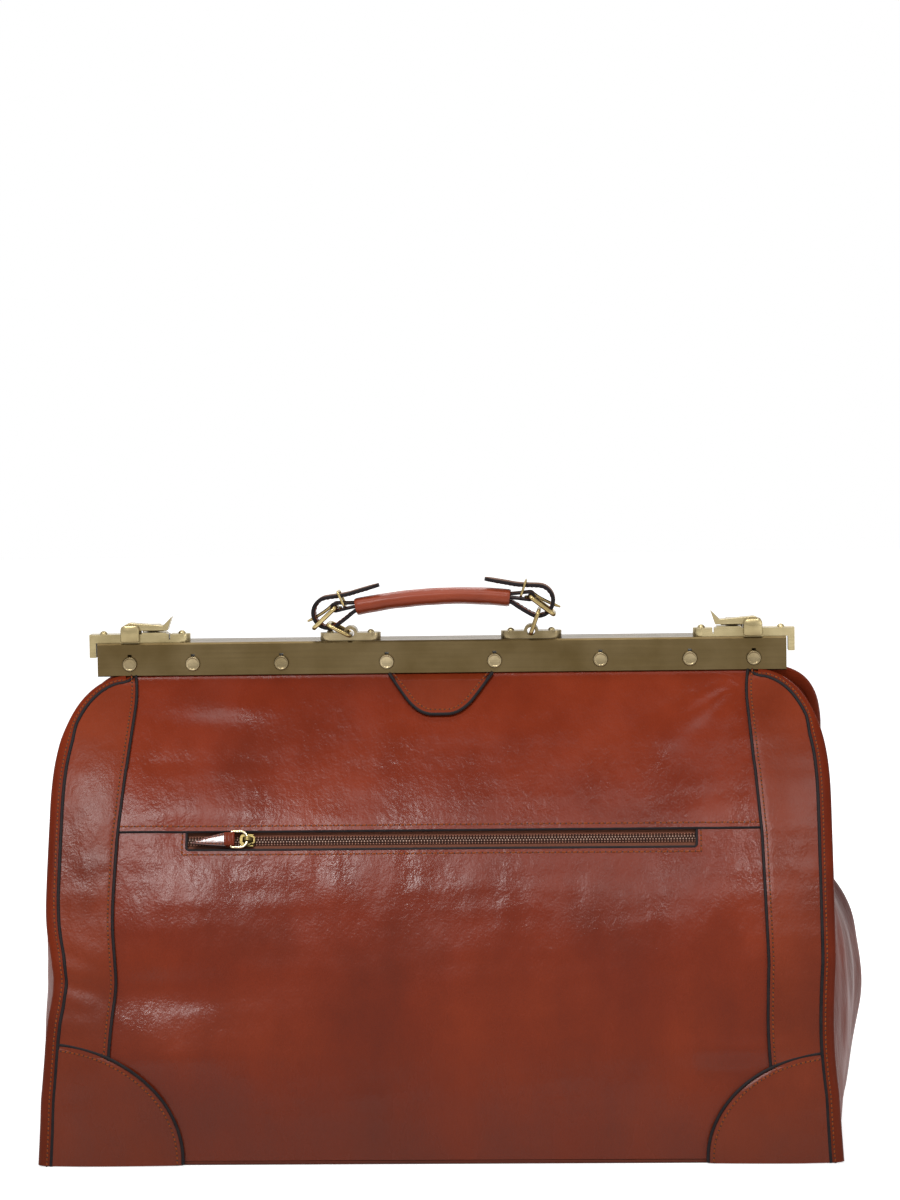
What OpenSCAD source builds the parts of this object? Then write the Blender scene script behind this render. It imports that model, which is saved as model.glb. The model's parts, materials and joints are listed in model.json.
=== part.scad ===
// Leather travel bag with two hinged brass frame bars, end latches and a buckled grip handle.
// Front is -Y, +Z is up, and the origin is the middle of the base.

/* [Bag body] */
// Width of the base
bag_w = 500; // [460:2:540]
// Depth of the base
bag_d = 260; // [230:2:290]
// Height of the top of the frame bars
bar_top = 318; // [300:1:340]
// Width of the panels where they enter the bars
mouth_w = 394; // [380:2:400]
// Height of the round shoulders
shoulder_h = 56; // [46:1:66]
// How far the outline draws in at the waist
waist_in = 5; // [0:0.5:8]
// Thickness of the panels and gussets
leather = 2.4; // [1.8:0.1:3]
// Thickness of a layer sewn on the panels
overlay = 1.6; // [1.2:0.1:2]
// Width of the bound edge
binding_w = 6.5; // [5:0.5:9]
// Width of the side strips on the front
strip_w = 39; // [30:1:46]
// Reach of a corner patch along the base
patch_w = 85; // [70:1:100]
// Height of a corner patch
patch_h = 74; // [60:1:90]
// Thickness of the bottom leather
bottom_t = 2.8; // [2:0.2:4]
// Thickness of the stiffening board
board_t = 3; // [2:0.5:5]

/* [Front pocket] */
// Height of the zip above the base
zip_z = 197.2; // [192:0.2:200]
// Length of the zip window
zip_len = 319; // [280:1:330]
// Height of the zip window
zip_win = 11; // [10:0.5:13]
// Width of the closed zip coil
coil_w = 5; // [4:0.2:5.6]
// Length of the slider
slider_len = 7; // [6:0.5:10]
// Distance of the slider from the window's left end, with the zip closed
slider_park = 39; // [34:1:50]
// Depth of the pocket pouch
pouch_h = 130; // [100:5:150]

/* [Frame bars] */
// Length of a bar
bar_len = 446; // [430:2:460]
// Height of a bar
bar_h = 21.7; // [20:0.1:25]
// Depth of one bar
bar_depth = 17; // [16:0.5:19]
// Gap between the two bars
bar_gap = 0.6; // [0.6:0.1:1.2]
// Sheet thickness of a bar
bar_wall = 1.4; // [1:0.1:1.8]
// Diameter of a rivet cap
rivet_cap_d = 9.8; // [8:0.2:11]
// Diameter of a rivet shank
rivet_shank_d = 2.4; // [2:0.1:3]
// Drop of the rivets below the bar's top
rivet_drop = 13.7; // [13:0.1:15]
// Thickness of the steel bow in a bar
bow_t = 2; // [1.5:0.1:2.4]
// Thickness of a bow's arm
arm_t = 3; // [2:0.1:4]
// Width of a bow's arm
arm_w = 10; // [8:0.5:10.5]
// Distance of the front arms from the middle
arm_x = 181; // [170:1:184]
// Height of the hinge pins
hinge_z = 200; // [196:1:202]
// Diameter of the hinge pins
pin_d = 5; // [4:0.2:6]

/* [Latches] */
// Length of a latch base from the bar's end
latch_len = 60; // [56:1:70]
// Height of a latch base
latch_h = 5.5; // [4.5:0.1:6]
// Depth of a latch base
latch_depth = 12; // [11:0.5:13]
// Height of the ears that hold the lever
ear_h = 11.3; // [10.8:0.1:13]
// Diameter of the lever's round hub
hub_d = 10.6; // [9:0.2:11]
// Length of the lever from its pin to the tip
lever_len = 27.3; // [25:0.1:30]
// Drop of the leg over the bar's end
leg_drop = 9.5; // [7:0.5:12]

/* [Handle] */
// Length of a handle base
base_len = 39.3; // [37:0.1:42]
// Depth of a handle base
base_depth = 12; // [10:0.5:13]
// Height of a handle base
base_h = 5.1; // [4.5:0.1:5.4]
// Length of a link ring between its two bars
link_len = 15.6; // [15.2:0.1:16.4]
// Wire diameter of the link rings
link_wire = 2.7; // [2:0.1:3]
// How far the left link leans outward at rest, in degrees
link_lean = 62.6; // [58:0.2:63]
// Distance between the two strap loops
loop_pitch = 136.5; // [124:0.5:150]
// How far a handle base lies inside its strap loop
base_inset = 9.65; // [9:0.05:10.5]
// How far the grip's end lies inside its strap loop
grip_inset = 18.25; // [17:0.25:20]
// Thickness of the grip
grip_t = 10.4; // [10:0.1:12]
// Width of the grip
grip_w = 20; // [18:0.5:23]
// Rise of the grip's arch
grip_rise = 3.9; // [3:0.1:6]
// Width of the buckled straps
strap_w = 14; // [12:0.5:15]
// Thickness of the buckled straps
strap_t = 2.3; // [1.8:0.1:2.6]
// Wire diameter of the buckles
buckle_wire = 3; // [2.4:0.1:3.2]

/* [Hidden] */
$fn = 48;
eps = 0.05;

// Handle sizes that follow the strap loops
loop_x = loop_pitch / 2;
base_pitch = loop_pitch - 2 * base_inset;
grip_len = loop_pitch - 2 * grip_inset;

// Clearances
seat_gap = 0.1;
run_gap = 0.05;
soft_gap = 0.3;

// Heights
bar_z = bar_top - bar_h;
shoulder_z = bar_z - shoulder_h;
split_z = zip_z + 10;
panel_z = bottom_t + seat_gap;

// Half sizes of the body
half_w = bag_w / 2;
half_d = bag_d / 2;
mouth_x = mouth_w / 2;
mouth_y = bar_gap / 2 + bar_depth - bar_wall - seat_gap;
zip_zone = 12;

// Half depth of the wall's outer face at height z: a parabola, straight across the zip
function bow_y(z) = mouth_y + (half_d - mouth_y) * (1 - pow(z / bar_z, 2));
zip_low = zip_z - zip_zone;
zip_high = zip_z + zip_zone;
zip_slope = (bow_y(zip_low) - bow_y(zip_high)) / (2 * zip_zone);
zip_tilt = atan(zip_slope);
function wall_y(z) = z > bar_z ? mouth_y
    : z > zip_low && z < zip_high ? bow_y(zip_low) - zip_slope * (z - zip_low)
    : bow_y(z);

// Half width of the front at height z: a drawn-in waist below the elliptic shoulder
waist_z = 82;
function waist_x(z) = half_w - 3 - (waist_in - 3) * cos(90 * min(1, abs(z - waist_z) / 40))
    + 3 * pow(max(0, 1 - z / waist_z), 2);
function shoulder_x(z) = mouth_x + (waist_x(shoulder_z) - mouth_x)
    * sqrt(max(0, 1 - pow((z - shoulder_z) / shoulder_h, 2)));
function edge_x(z) = z < shoulder_z ? waist_x(z) : z < bar_z ? shoulder_x(z) : mouth_x;

// Middle of the gusset against the base: it swells low down and folds in at the hinge
gusset_line = [[0, 0], [0.17, 12], [0.34, 18], [0.5, -18], [0.6, -40], [0.7, -43], [0.85, -52], [1, -58]];
function middle_x(z) = half_w + lookup(z / bar_z, gusset_line);

// Heights at which the curved pieces have their points
low_steps = 7;
low_z = concat([for (i = [0 : low_steps]) panel_z + (zip_low - panel_z) * i / low_steps], [split_z]);
high_steps = 9;
high_z = concat([split_z + soft_gap, zip_high],
    [for (i = [1 : high_steps]) zip_high + (bar_z - soft_gap - zip_high) * sin(90 * i / high_steps)]);

// Front outline between two heights, as the points of its right edge
function edge_points(levels) = [for (z = levels) [edge_x(z), z]];
function mirrored(points) = [for (i = [len(points) - 1 : -1 : 0]) [-points[i][0], points[i][1]]];

// A slice of the wall between two depths under its outer face, across the whole width
module wall_slice(levels, outer, inner) {
    profile = concat([for (z = levels) [wall_y(z) + outer, z]],
        [for (i = [len(levels) - 1 : -1 : 0]) [wall_y(levels[i]) + inner, levels[i]]]);
    rotate([90, 0, 90])
        translate([0, 0, -half_w - 10]) linear_extrude(bag_w + 20) polygon(profile);
}

// A solid of the front outline, for cutting the wall slices to their shape
module front_cut() {
    translate([0, half_d + 10, 0]) rotate([90, 0, 0]) linear_extrude(half_d + 10) children();
}
module outline(levels) polygon(concat(edge_points(levels), mirrored(edge_points(levels))));
module at_front() mirror([0, 1, 0]) children();
module both_x() {
    children();
    mirror([1, 0, 0]) children();
}

// Bottom and walls
leather_red = [0.46, 0.19, 0.12];
edge_black = [0.14, 0.12, 0.12];
brass_tone = [0.43, 0.36, 0.22];
steel_tone = [0.5, 0.5, 0.5];
cloth_tone = [0.3, 0.22, 0.16];

module rounded_plate(w, d, t, r) {
    linear_extrude(t) {
        square([w - 2 * r, d], center = true);
        square([w, d - 2 * r], center = true);
        for (x = [-1, 1], y = [-1, 1])
            translate([x * (w / 2 - r), y * (d / 2 - r)]) circle(r);
    }
}
module bottom_panel() color(leather_red) rounded_plate(bag_w, bag_d, bottom_t, 5);

board_z = bottom_t + seat_gap;
board_margin = leather + 1.6;
module base_board() color(cloth_tone)
    translate([0, 0, board_z])
        rounded_plate(2 * waist_x(waist_z) - 2 * board_margin, bag_d - 2 * board_margin - 2, board_t, 8);

module low_wall() {
    intersection() {
        wall_slice(low_z, 0, -leather);
        front_cut() outline(low_z);
    }
}
module lower_front_panel() color(leather_red) difference() {
    at_front() low_wall();
    on_zip() cube([zip_len, 30, zip_win], center = true);
}
module lower_back_panel() color(leather_red) low_wall();

// Gusset sheet: rows of points from depth fraction a to b at each height, with an inner copy
function gusset_y(z) = wall_y(z) - leather - seat_gap;
function gusset_x(z, f) = middle_x(z) + (edge_x(z) - middle_x(z)) * f * f;
function sheet_rows(levels, a, b, n, inset, gap) = [for (z = levels) [for (i = [0 : n])
    let (f = a + (b - a) * i / n, side = f < 0 ? -1 : 1)
    [gusset_x(z, f) - inset, gap + f * (gusset_y(z) - gap), z]]];
function flat(rows) = [for (row = rows) each row];
module closed_sheet(outer, inner) {
    rows = len(outer);
    cols = len(outer[0]);
    n = rows * cols;
    function at(r, c) = r * cols + c;
    function cell(a, b, c, d) = [[a, b, c], [a, c, d]];
    grid_faces = [for (r = [0 : rows - 2], c = [0 : cols - 2]) each concat(
        cell(at(r, c), at(r, c + 1), at(r + 1, c + 1), at(r + 1, c)),
        cell(n + at(r, c), n + at(r + 1, c), n + at(r + 1, c + 1), n + at(r, c + 1)))];
    side_faces = [for (r = [0 : rows - 2]) each concat(
        cell(at(r, 0), at(r + 1, 0), n + at(r + 1, 0), n + at(r, 0)),
        cell(at(r, cols - 1), n + at(r, cols - 1), n + at(r + 1, cols - 1), at(r + 1, cols - 1)))];
    end_faces = [for (c = [0 : cols - 2]) each concat(
        cell(at(0, c), n + at(0, c), n + at(0, c + 1), at(0, c + 1)),
        cell(at(rows - 1, c), at(rows - 1, c + 1), n + at(rows - 1, c + 1), n + at(rows - 1, c)))];
    polyhedron(concat(flat(outer), flat(inner)), concat(grid_faces, side_faces, end_faces));
}
module gusset(levels, a, b, n, gap) {
    closed_sheet(sheet_rows(levels, a, b, n, leather, gap), sheet_rows(levels, a, b, n, 0, gap));
}
module gusset_right() color(leather_red) gusset(low_z, -1, 1, 12, 0);
module gusset_left() color(leather_red) mirror([1, 0, 0]) gusset(low_z, -1, 1, 12, 0);

// Strips, bindings and patches sewn on the outer face
patch_points = [for (a = [0 : 9 : 90]) [half_w + 5 - patch_w * sin(a) - 5 * cos(a), patch_h * cos(a)]];
module patch_area(grow) {
    polygon(concat([for (p = patch_points) [p[0] - grow, p[1] + grow]], [[half_w + 9, -1], [half_w + 9, patch_h]]));
}
module binding_area(levels) {
    polygon(concat(edge_points(levels), [for (i = [len(levels) - 1 : -1 : 0])
        [edge_x(levels[i]) - binding_w, levels[i]]]));
}
strip_lean = [[0, 0], [0.34, -1], [0.67, -4], [0.83, -8], [1, 0]];
function strip_x(z) = z < shoulder_z ? edge_x(z) - strip_w + lookup(z / bar_z, strip_lean)
    : strip_x(shoulder_z - eps) - 5 * (z - shoulder_z) / shoulder_h;
module strip_area(levels) {
    polygon(concat([for (z = levels) [edge_x(z) - binding_w - eps, z]],
        [for (i = [len(levels) - 1 : -1 : 0])
            [min(strip_x(levels[i]), edge_x(levels[i]) - binding_w - 2), levels[i]]]));
}
module low_strips() both_x() intersection() {
    wall_slice(low_z, overlay + eps, eps);
    front_cut() difference() {
        strip_area(low_z);
        patch_area(seat_gap);
    }
}
module low_patches() both_x() intersection() {
    wall_slice(low_z, overlay + eps, eps);
    front_cut() difference() {
        intersection() {
            patch_area(0);
            outline(low_z);
        }
        binding_area(low_z);
    }
}
module side_strips_front() color(leather_red) at_front() low_strips();
module side_strips_back() color(leather_red) low_strips();
module corner_patches_front() color(leather_red) at_front() low_patches();
module corner_patches_back() color(leather_red) low_patches();
module low_bindings() both_x() intersection() {
    wall_slice(low_z, overlay + 0.8, eps);
    front_cut() binding_area(low_z);
}
module edge_bindings() color(edge_black) {
    at_front() low_bindings();
    low_bindings();
}

// Lining of the lower compartment, and the pocket pouch in front of it
lining_gap = 5.5;
lining_side_gap = 6;
lining_t = 1;
lining_top = hinge_z - 26;
lining_z = board_z + board_t + seat_gap;
function lining_half(z, inset) = let (x0 = leather + lining_side_gap + inset, y0 = leather + lining_gap + inset)
    [for (i = [-6 : 6]) let (y = i / 6 * (wall_y(z) - y0)) [gusset_x(z, y / gusset_y(z)) - x0, y]];
function lining_ring(z, inset) = let (half = lining_half(z, inset))
    concat(half, [for (i = [len(half) - 1 : -1 : 0]) [-half[i][0], half[i][1]]]);
lining_levels = [for (i = [0 : 6]) lining_z + (lining_top - lining_z) * i / 6];
module lining() {
    floor_z = lining_z + lining_t;
    inner_levels = [for (i = [6 : -1 : 1]) lining_levels[i]];
    rings = concat([for (z = lining_levels) [for (p = lining_ring(z, 0)) [p[0], p[1], z]]],
        [for (z = concat(inner_levels, [floor_z])) [for (p = lining_ring(z, lining_t)) [p[0], p[1], z]]]);
    n = len(rings[0]);
    last = len(rings) - 1;
    sides = [for (r = [0 : last - 1], i = [0 : n - 1]) let (j = (i + 1) % n) each
        [[r * n + i, (r + 1) * n + i, (r + 1) * n + j], [r * n + i, (r + 1) * n + j, r * n + j]]];
    color(cloth_tone) polyhedron(flat(rings), concat(sides,
        [[for (i = [0 : n - 1]) i]], [[for (i = [n - 1 : -1 : 0]) last * n + i]]));
}
pouch_t = 2.5;
pouch_top = zip_z - zip_win;
module pocket_pouch() color(cloth_tone) at_front() intersection() {
    wall_slice([pouch_top - pouch_h, pouch_top - pouch_h * 2 / 3, pouch_top - pouch_h / 3, pouch_top],
        -leather - 1.6, -leather - 1.6 - pouch_t);
    translate([-zip_len / 2, 0, 0]) cube([zip_len, half_d, bar_z]);
}

// Zip, in a frame on the sloping front: X along the zip, -Y outward, Z up the slope
zip_x = -0.5;
skin = leather * cos(zip_tilt);
tape_t = 0.8;
coil_t = 1.8;
module on_zip() translate([zip_x, -wall_y(zip_z), zip_z]) rotate([-zip_tilt, 0, 0]) children();
tape_in = skin + seat_gap;
tape_w = 22;
tape_end = 8;
module zip_tape() color(cloth_tone) on_zip()
    translate([-zip_len / 2 - tape_end, tape_in, -tape_w / 2]) cube([zip_len + 2 * tape_end, tape_t, tape_w]);
coil_out = tape_in - coil_t;
module zip_coil() color(cloth_tone) on_zip()
    translate([-zip_len / 2, coil_out, -coil_w / 2]) cube([zip_len, coil_t - eps, coil_w]);

slide_x = -zip_len / 2 + slider_park;
slide_gap = 0.3;
slider_in = coil_out - slide_gap;
slider_t = 1.5;
slider_w = coil_w + 2 * slide_gap + 2.4;
ring_wire = 1.6;
ring_y = slider_in - slider_t - ring_wire / 2 - 0.15;
ring_len = 10.4;
ring_w = 9;
module zip_slider() color(brass_tone) on_zip() translate([slide_x, 0, 0]) difference() {
    union() {
        translate([-slider_len / 2, slider_in - slider_t, -slider_w / 2]) cube([slider_len, slider_t, slider_w]);
        for (s = [-1, 1]) translate([-slider_len / 2, slider_in - eps, s * (slider_w / 2 - 0.6) - 0.6])
            cube([slider_len, coil_t, 1.2]);
        translate([-1.8, slider_in - slider_t - ring_wire - 1.1, -2]) cube([3.6, ring_wire + 1.2, 4]);
    }
    translate([0, ring_y, -10]) cylinder(d = ring_wire + 2 * run_gap, h = 20);
}
// A rectangular wire loop: its bars run along Y at the heights 0 and len, with a bead at each corner
corner_bead = 0.1;
module wire_loop(width, len, wire) {
    for (z = [0, len]) {
        translate([0, -width / 2, z]) along_y(wire, width);
        for (s = [-1, 1]) translate([0, s * width / 2, z]) sphere(d = wire + corner_bead);
    }
    for (s = [-1, 1]) translate([0, s * width / 2, 0]) cylinder(d = wire, h = len);
}
module flat_ring(len, width, wire) rotate([90, 0, 0]) rotate([0, -90, 0]) wire_loop(width, len, wire);
module zip_ring() color(brass_tone) on_zip() translate([slide_x, ring_y, 0])
    flat_ring(ring_len, ring_w + ring_wire, ring_wire);
tab_t = 2.4;
tab_len = 25;
tab_w = 8.4;
tab_eye = 5.6;
module zip_tab() color(leather_red) on_zip() translate([slide_x - ring_len, ring_y, 0]) difference() {
    union() {
        rotate([90, 0, 0]) translate([0, 0, -tab_t / 2]) linear_extrude(tab_t)
            polygon([[0, -tab_eye / 2], [0, tab_eye / 2], [-3, tab_w / 2], [-8, tab_w / 2], [-tab_len, 1],
                [-tab_len, -1], [-8, -tab_w / 2], [-3, -tab_w / 2]]);
        translate([0, 0, -tab_eye / 2]) cylinder(d = ring_wire + 1.6, h = tab_eye);
    }
    translate([0, 0, -10]) cylinder(d = ring_wire + 2 * run_gap, h = 20);
}

// Frame: bars, bows, rivets and the hinge at the foot of the arms, drawn for the back
bar_y0 = bar_gap / 2;
bar_y1 = bar_y0 + bar_depth;
bar_mid = (bar_y0 + bar_y1) / 2;
bevel = 1.1;
rivet_z = bar_top - rivet_drop;
rivet_x = [for (share = [0.1565, 0.4632, 0.7215, 0.9058]) share * bar_len / 2];
slot_rise = rivet_cap_d / 2 + 1.3;
bow_y1 = mouth_y - leather - seat_gap;
bow_y0 = bow_y1 - bow_t;
module rivet_places() for (x = rivet_x, s = [-1, 1]) translate([s * x, 0, rivet_z]) children();
module along_y(d, h) rotate([-90, 0, 0]) cylinder(d = d, h = h);
module along_x(d, h) rotate([0, 90, 0]) cylinder(d = d, h = h);
module bar() difference() {
    translate([-bar_len / 2, 0, 0]) rotate([90, 0, 90]) linear_extrude(bar_len)
        polygon([[bar_y0, bar_z], [bar_y1 - 0.6, bar_z], [bar_y1, bar_z + 0.6], [bar_y1, bar_top - bevel],
            [bar_y1 - bevel, bar_top], [bar_y0, bar_top]]);
    translate([-bar_len / 2 + bar_wall, bar_y0 + bar_wall, bar_z - 1])
        cube([bar_len - 2 * bar_wall, bar_depth - 2 * bar_wall, bar_h - bar_wall + 1]);
    rivet_places() {
        along_y(rivet_shank_d + 2 * seat_gap, bar_y1 + 1);
        translate([0, bar_y0 + bar_wall, slot_rise / 2])
            translate([-rivet_shank_d / 2 - seat_gap, 0, -slot_rise / 2])
                cube([rivet_shank_d + 2 * seat_gap, bar_depth, slot_rise]);
    }
    top_fixings() cylinder(d = stud_d + 2 * seat_gap, h = 4 * bar_wall, center = true);
}
stud_d = 2;
// Where a bar's top carries studs: only the front bar has handle bases and latches
module top_fixings() for (x = [latch_stud_in, latch_stud_out], s = [-1, 1])
    translate([s * (bar_len / 2 - x), bar_mid, bar_top]) children();
module handle_fixings() for (x = [-1, 1], s = [-1, 1])
    translate([s * base_pitch / 2 + x * base_stud, bar_mid, bar_top]) children();
module front_bar() color(brass_tone) at_front() difference() {
    bar();
    handle_fixings() cylinder(d = stud_d + 2 * seat_gap, h = 4 * bar_wall, center = true);
}
module back_bar() color(brass_tone) bar();

arm_reach = bar_z + 8;
arm_mid = bow_y0 - arm_w / 2 + 1;
arm_boss = arm_w + 5;
arm_run = [arm_mid, arm_reach - hinge_z];
arm_side = [arm_run[1], -arm_run[0]] / norm(arm_run) * arm_w / 2;
module arm(x) difference() {
    translate([x, 0, hinge_z]) rotate([90, 0, 90]) linear_extrude(arm_t) {
        polygon([-arm_side, arm_side, [bow_y1, arm_run[1] - 8], [bow_y1, arm_run[1]], arm_run - arm_side]);
        circle(d = arm_boss);
    }
    translate([x - 1, 0, hinge_z]) along_x(pin_d + 2 * run_gap, arm_t + 2);
}
module bow(x) difference() {
    union() {
        translate([-x - arm_t, bow_y0, bar_z + 1.5])
            cube([2 * x + 2 * arm_t, bow_t, bar_h - bar_wall - 3]);
        both_x() arm(x);
    }
    rivet_places() along_y(rivet_shank_d + 2 * seat_gap, bar_y1);
}
arm_gap = 0.3;
module front_bow() color(steel_tone) at_front() bow(arm_x);
module back_bow() color(steel_tone) bow(arm_x + arm_t + arm_gap);

cap_h = 0.9;
cap_dome = 0.8;
module rivets() rivet_places() {
    translate([0, bar_y1, 0]) along_y(rivet_cap_d, cap_h);
    translate([0, bar_y1 + cap_h - eps, 0]) rotate([-90, 0, 0])
        cylinder(d1 = rivet_cap_d, d2 = rivet_cap_d * 0.6, h = cap_dome);
    translate([0, bow_y0 - 1, 0]) along_y(rivet_shank_d, bar_y1 + 1 - bow_y0 + eps);
    translate([0, bow_y0 - 1, 0]) along_y(rivet_shank_d + 1.6, 1);
}
module front_rivets() color(brass_tone) at_front() rivets();
module back_rivets() color(brass_tone) rivets();

hinge_in = arm_x - 2;
plate_t = 1.5;
plate_x = middle_x(split_z) - leather - 0.4 - plate_t;
module hinge_pin() {
    translate([hinge_in, 0, hinge_z]) along_x(pin_d, plate_x - hinge_in);
    translate([hinge_in - 1.5, 0, hinge_z]) along_x(pin_d + 4, 1.5 + eps);
}
module hinge_pin_right() color(steel_tone) hinge_pin();
module hinge_pin_left() color(steel_tone) mirror([1, 0, 0]) hinge_pin();
plate_w = 20;
plate_low = hinge_z - 20;
module hinge_plates() color(steel_tone) both_x()
    translate([plate_x, -plate_w / 2, plate_low]) cube([plate_t, plate_w, split_z - 1.7 - plate_low]);

// Upper leather, which folds when the frame opens
module high_wall() difference() {
    union() {
        intersection() {
            wall_slice(high_z, 0, -leather);
            front_cut() outline(high_z);
        }
        translate([-mouth_x, mouth_y - leather, bar_z - soft_gap - eps])
            cube([mouth_w, leather, bar_h - bar_wall - 1]);
    }
    rivet_places() along_y(rivet_shank_d + 2 * seat_gap, bar_y1);
}
module upper_front_panel() color(leather_red) at_front() high_wall();
module upper_back_panel() color(leather_red) high_wall();
module high_strips() both_x() intersection() {
    wall_slice(high_z, overlay + eps, eps);
    front_cut() difference() {
        union() {
            binding_area(high_z);
            strip_area(high_z);
        }
        translate([mouth_x - 60, bar_z - 1]) square([80, 10]);
    }
}
module shoulder_strips_front() color(leather_red) at_front() high_strips();
module shoulder_strips_back() color(leather_red) high_strips();
module high_gusset() gusset(high_z, 0, 1, 6, 0.5);
module upper_gusset_back_right() color(leather_red) high_gusset();
module upper_gusset_back_left() color(leather_red) mirror([1, 0, 0]) high_gusset();
module upper_gusset_front_right() color(leather_red) at_front() high_gusset();
module upper_gusset_front_left() color(leather_red) at_front() mirror([1, 0, 0]) high_gusset();

// Round-ended patch below the middle of a bar
tongue_w = 67;
tongue_h = 26;
tongue_low = bar_z - tongue_h;
module tongue() intersection() {
    wall_slice([tongue_low, tongue_low + 6, tongue_low + 14, bar_z - soft_gap], overlay + 0.8, 0.6);
    front_cut() translate([0, bar_z]) polygon(concat([[-tongue_w / 2, 0]],
        [for (a = [0 : 15 : 180]) [-12 * cos(a) * 1.6, -tongue_h + 10 - 10 * sin(a)]], [[tongue_w / 2, 0]]));
}
module bar_patch_front() color(leather_red) at_front() tongue();
module bar_patch_back() color(leather_red) tongue();

// Latches, drawn for the left end: X from the bar's end inward, Z from the bar's top
latch_stud_out = 3.3;
latch_stud_in = latch_len - 5.5;
lever_pin_x = 21.4;
lever_pin_z = hub_d / 2 + 2.2;
lever_pin_d = 3;
ear_t = 2;
ear_len = 12.1;
ear_y = -bar_mid - latch_depth / 2;
bed_z = latch_h + 1;
pocket_gap = 0.5;
module at_latch(side) {
    if (side < 0) translate([-bar_len / 2, 0, bar_top]) children();
    else mirror([1, 0, 0]) translate([-bar_len / 2, 0, bar_top]) children();
}
module latch_side(points, y, t) translate([0, y + t, 0]) rotate([90, 0, 0]) linear_extrude(t) polygon(points);
ear_r = 2.6;
module ear(y) translate([lever_pin_x, y + ear_t, 0]) rotate([90, 0, 0]) linear_extrude(ear_t) {
    translate([-ear_len / 2, 0]) square([ear_len, ear_h - ear_r]);
    translate([-ear_len / 2 + ear_r, 0]) square([ear_len - 2 * ear_r, ear_h]);
    for (s = [-1, 1]) translate([s * (ear_len / 2 - ear_r), ear_h - ear_r]) circle(ear_r);
}
bed_end = lever_pin_x + 23;
module latch_base(side) difference() {
    at_latch(side) difference() {
        union() {
            latch_side([[-5.4, -leg_drop], [-1.2, -leg_drop], [-1.2, 0], [bed_end + 2, 0], [bed_end + 2, latch_h],
                [-5.4, latch_h]], ear_y, latch_depth);
            latch_side([[lever_pin_x + 7.5, latch_h - eps], [bed_end + 1, latch_h - eps], [bed_end, bed_z],
                [lever_pin_x + 7.5, bed_z]], ear_y, latch_depth);
            translate([bed_end + 1, ear_y, 0]) cube([2.5, latch_depth, 2]);
            translate([bed_end + 3, ear_y, 0]) cube([latch_len - bed_end - 3 - latch_depth / 2, latch_depth, latch_h]);
            translate([latch_len - latch_depth / 2, -bar_mid, 0]) cylinder(d = latch_depth, h = latch_h);
            ear(ear_y - ear_t + eps);
            ear(ear_y + latch_depth - ear_t);
        }
        translate([lever_pin_x, ear_y, lever_pin_z]) along_y(hub_d + 2 * pocket_gap, latch_depth - ear_t);
        translate([lever_pin_x, ear_y - 10, lever_pin_z]) along_y(lever_pin_d + 2 * run_gap, 40);
    }
    top_fixings_front() cylinder(d = stud_d + 2 * seat_gap, h = 30, center = true);
}
module top_fixings_front() at_front() top_fixings() children();
module latch_base_left() color(brass_tone) latch_base(-1);
module latch_base_right() color(brass_tone) latch_base(1);

dome_d = 4.5;
dome_h = 1.8;
module stud(top, grip) {
    translate([0, 0, top]) cylinder(d1 = dome_d, d2 = dome_d * 0.5, h = dome_h);
    translate([0, 0, -bar_wall - 0.8]) cylinder(d = stud_d, h = top + bar_wall + 0.8 + eps);
    translate([0, 0, -bar_wall - 0.8]) cylinder(d = stud_d + 1.4, h = 0.7);
}
module latch_rivets() color(brass_tone) top_fixings_front() stud(latch_h);
module latch_pins() color(steel_tone) for (side = [-1, 1]) at_latch(side)
    translate([lever_pin_x, ear_y - ear_t + eps, lever_pin_z]) along_y(lever_pin_d, latch_depth + ear_t - eps);

// Lever: round hub, arm with a raised pointed tip, and a cross finger over the other bar
lever_y = ear_y + seat_gap * 3;
lever_w = latch_depth - ear_t - 6 * seat_gap;
crease = lever_len - 6;
arm_low = bed_z + 1.3 - lever_pin_z;
finger_x = 9;
finger_w = 8;
finger_h = 2.6;
finger_reach = bar_mid + 4;
module latch_lever(side) at_latch(side) translate([lever_pin_x, lever_y, lever_pin_z]) difference() {
    union() {
        along_y(hub_d, lever_w);
        translate([0, lever_w, 0]) rotate([90, 0, 0]) linear_extrude(lever_w)
            polygon([[0, arm_low], [crease + 2.9, arm_low], [lever_len, 9.5], [crease, 3.5], [0, hub_d / 2]]);
        translate([finger_x, lever_w - eps, arm_low]) cube([finger_w, finger_reach - lever_w - lever_y, finger_h]);
    }
    translate([0, -1, 0]) along_y(lever_pin_d + 2 * run_gap, lever_w + 2);
}
module latch_lever_left() color(brass_tone) latch_lever(-1);
module latch_lever_right() color(brass_tone) latch_lever(1);
strike_h = bed_z + 0.8;
strike_len = finger_w + 6;
strike_x = lever_pin_x + finger_x - 3;
strike_y = bar_y0 + 1;
strike_d = bar_depth - 3;
module strike_plates() color(brass_tone) for (side = [-1, 1]) difference() {
    at_latch(side) translate([strike_x, strike_y, 0]) cube([strike_len, strike_d, strike_h]);
    strike_fixings() cylinder(d = stud_d + 2 * seat_gap, h = 40, center = true);
}

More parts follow.
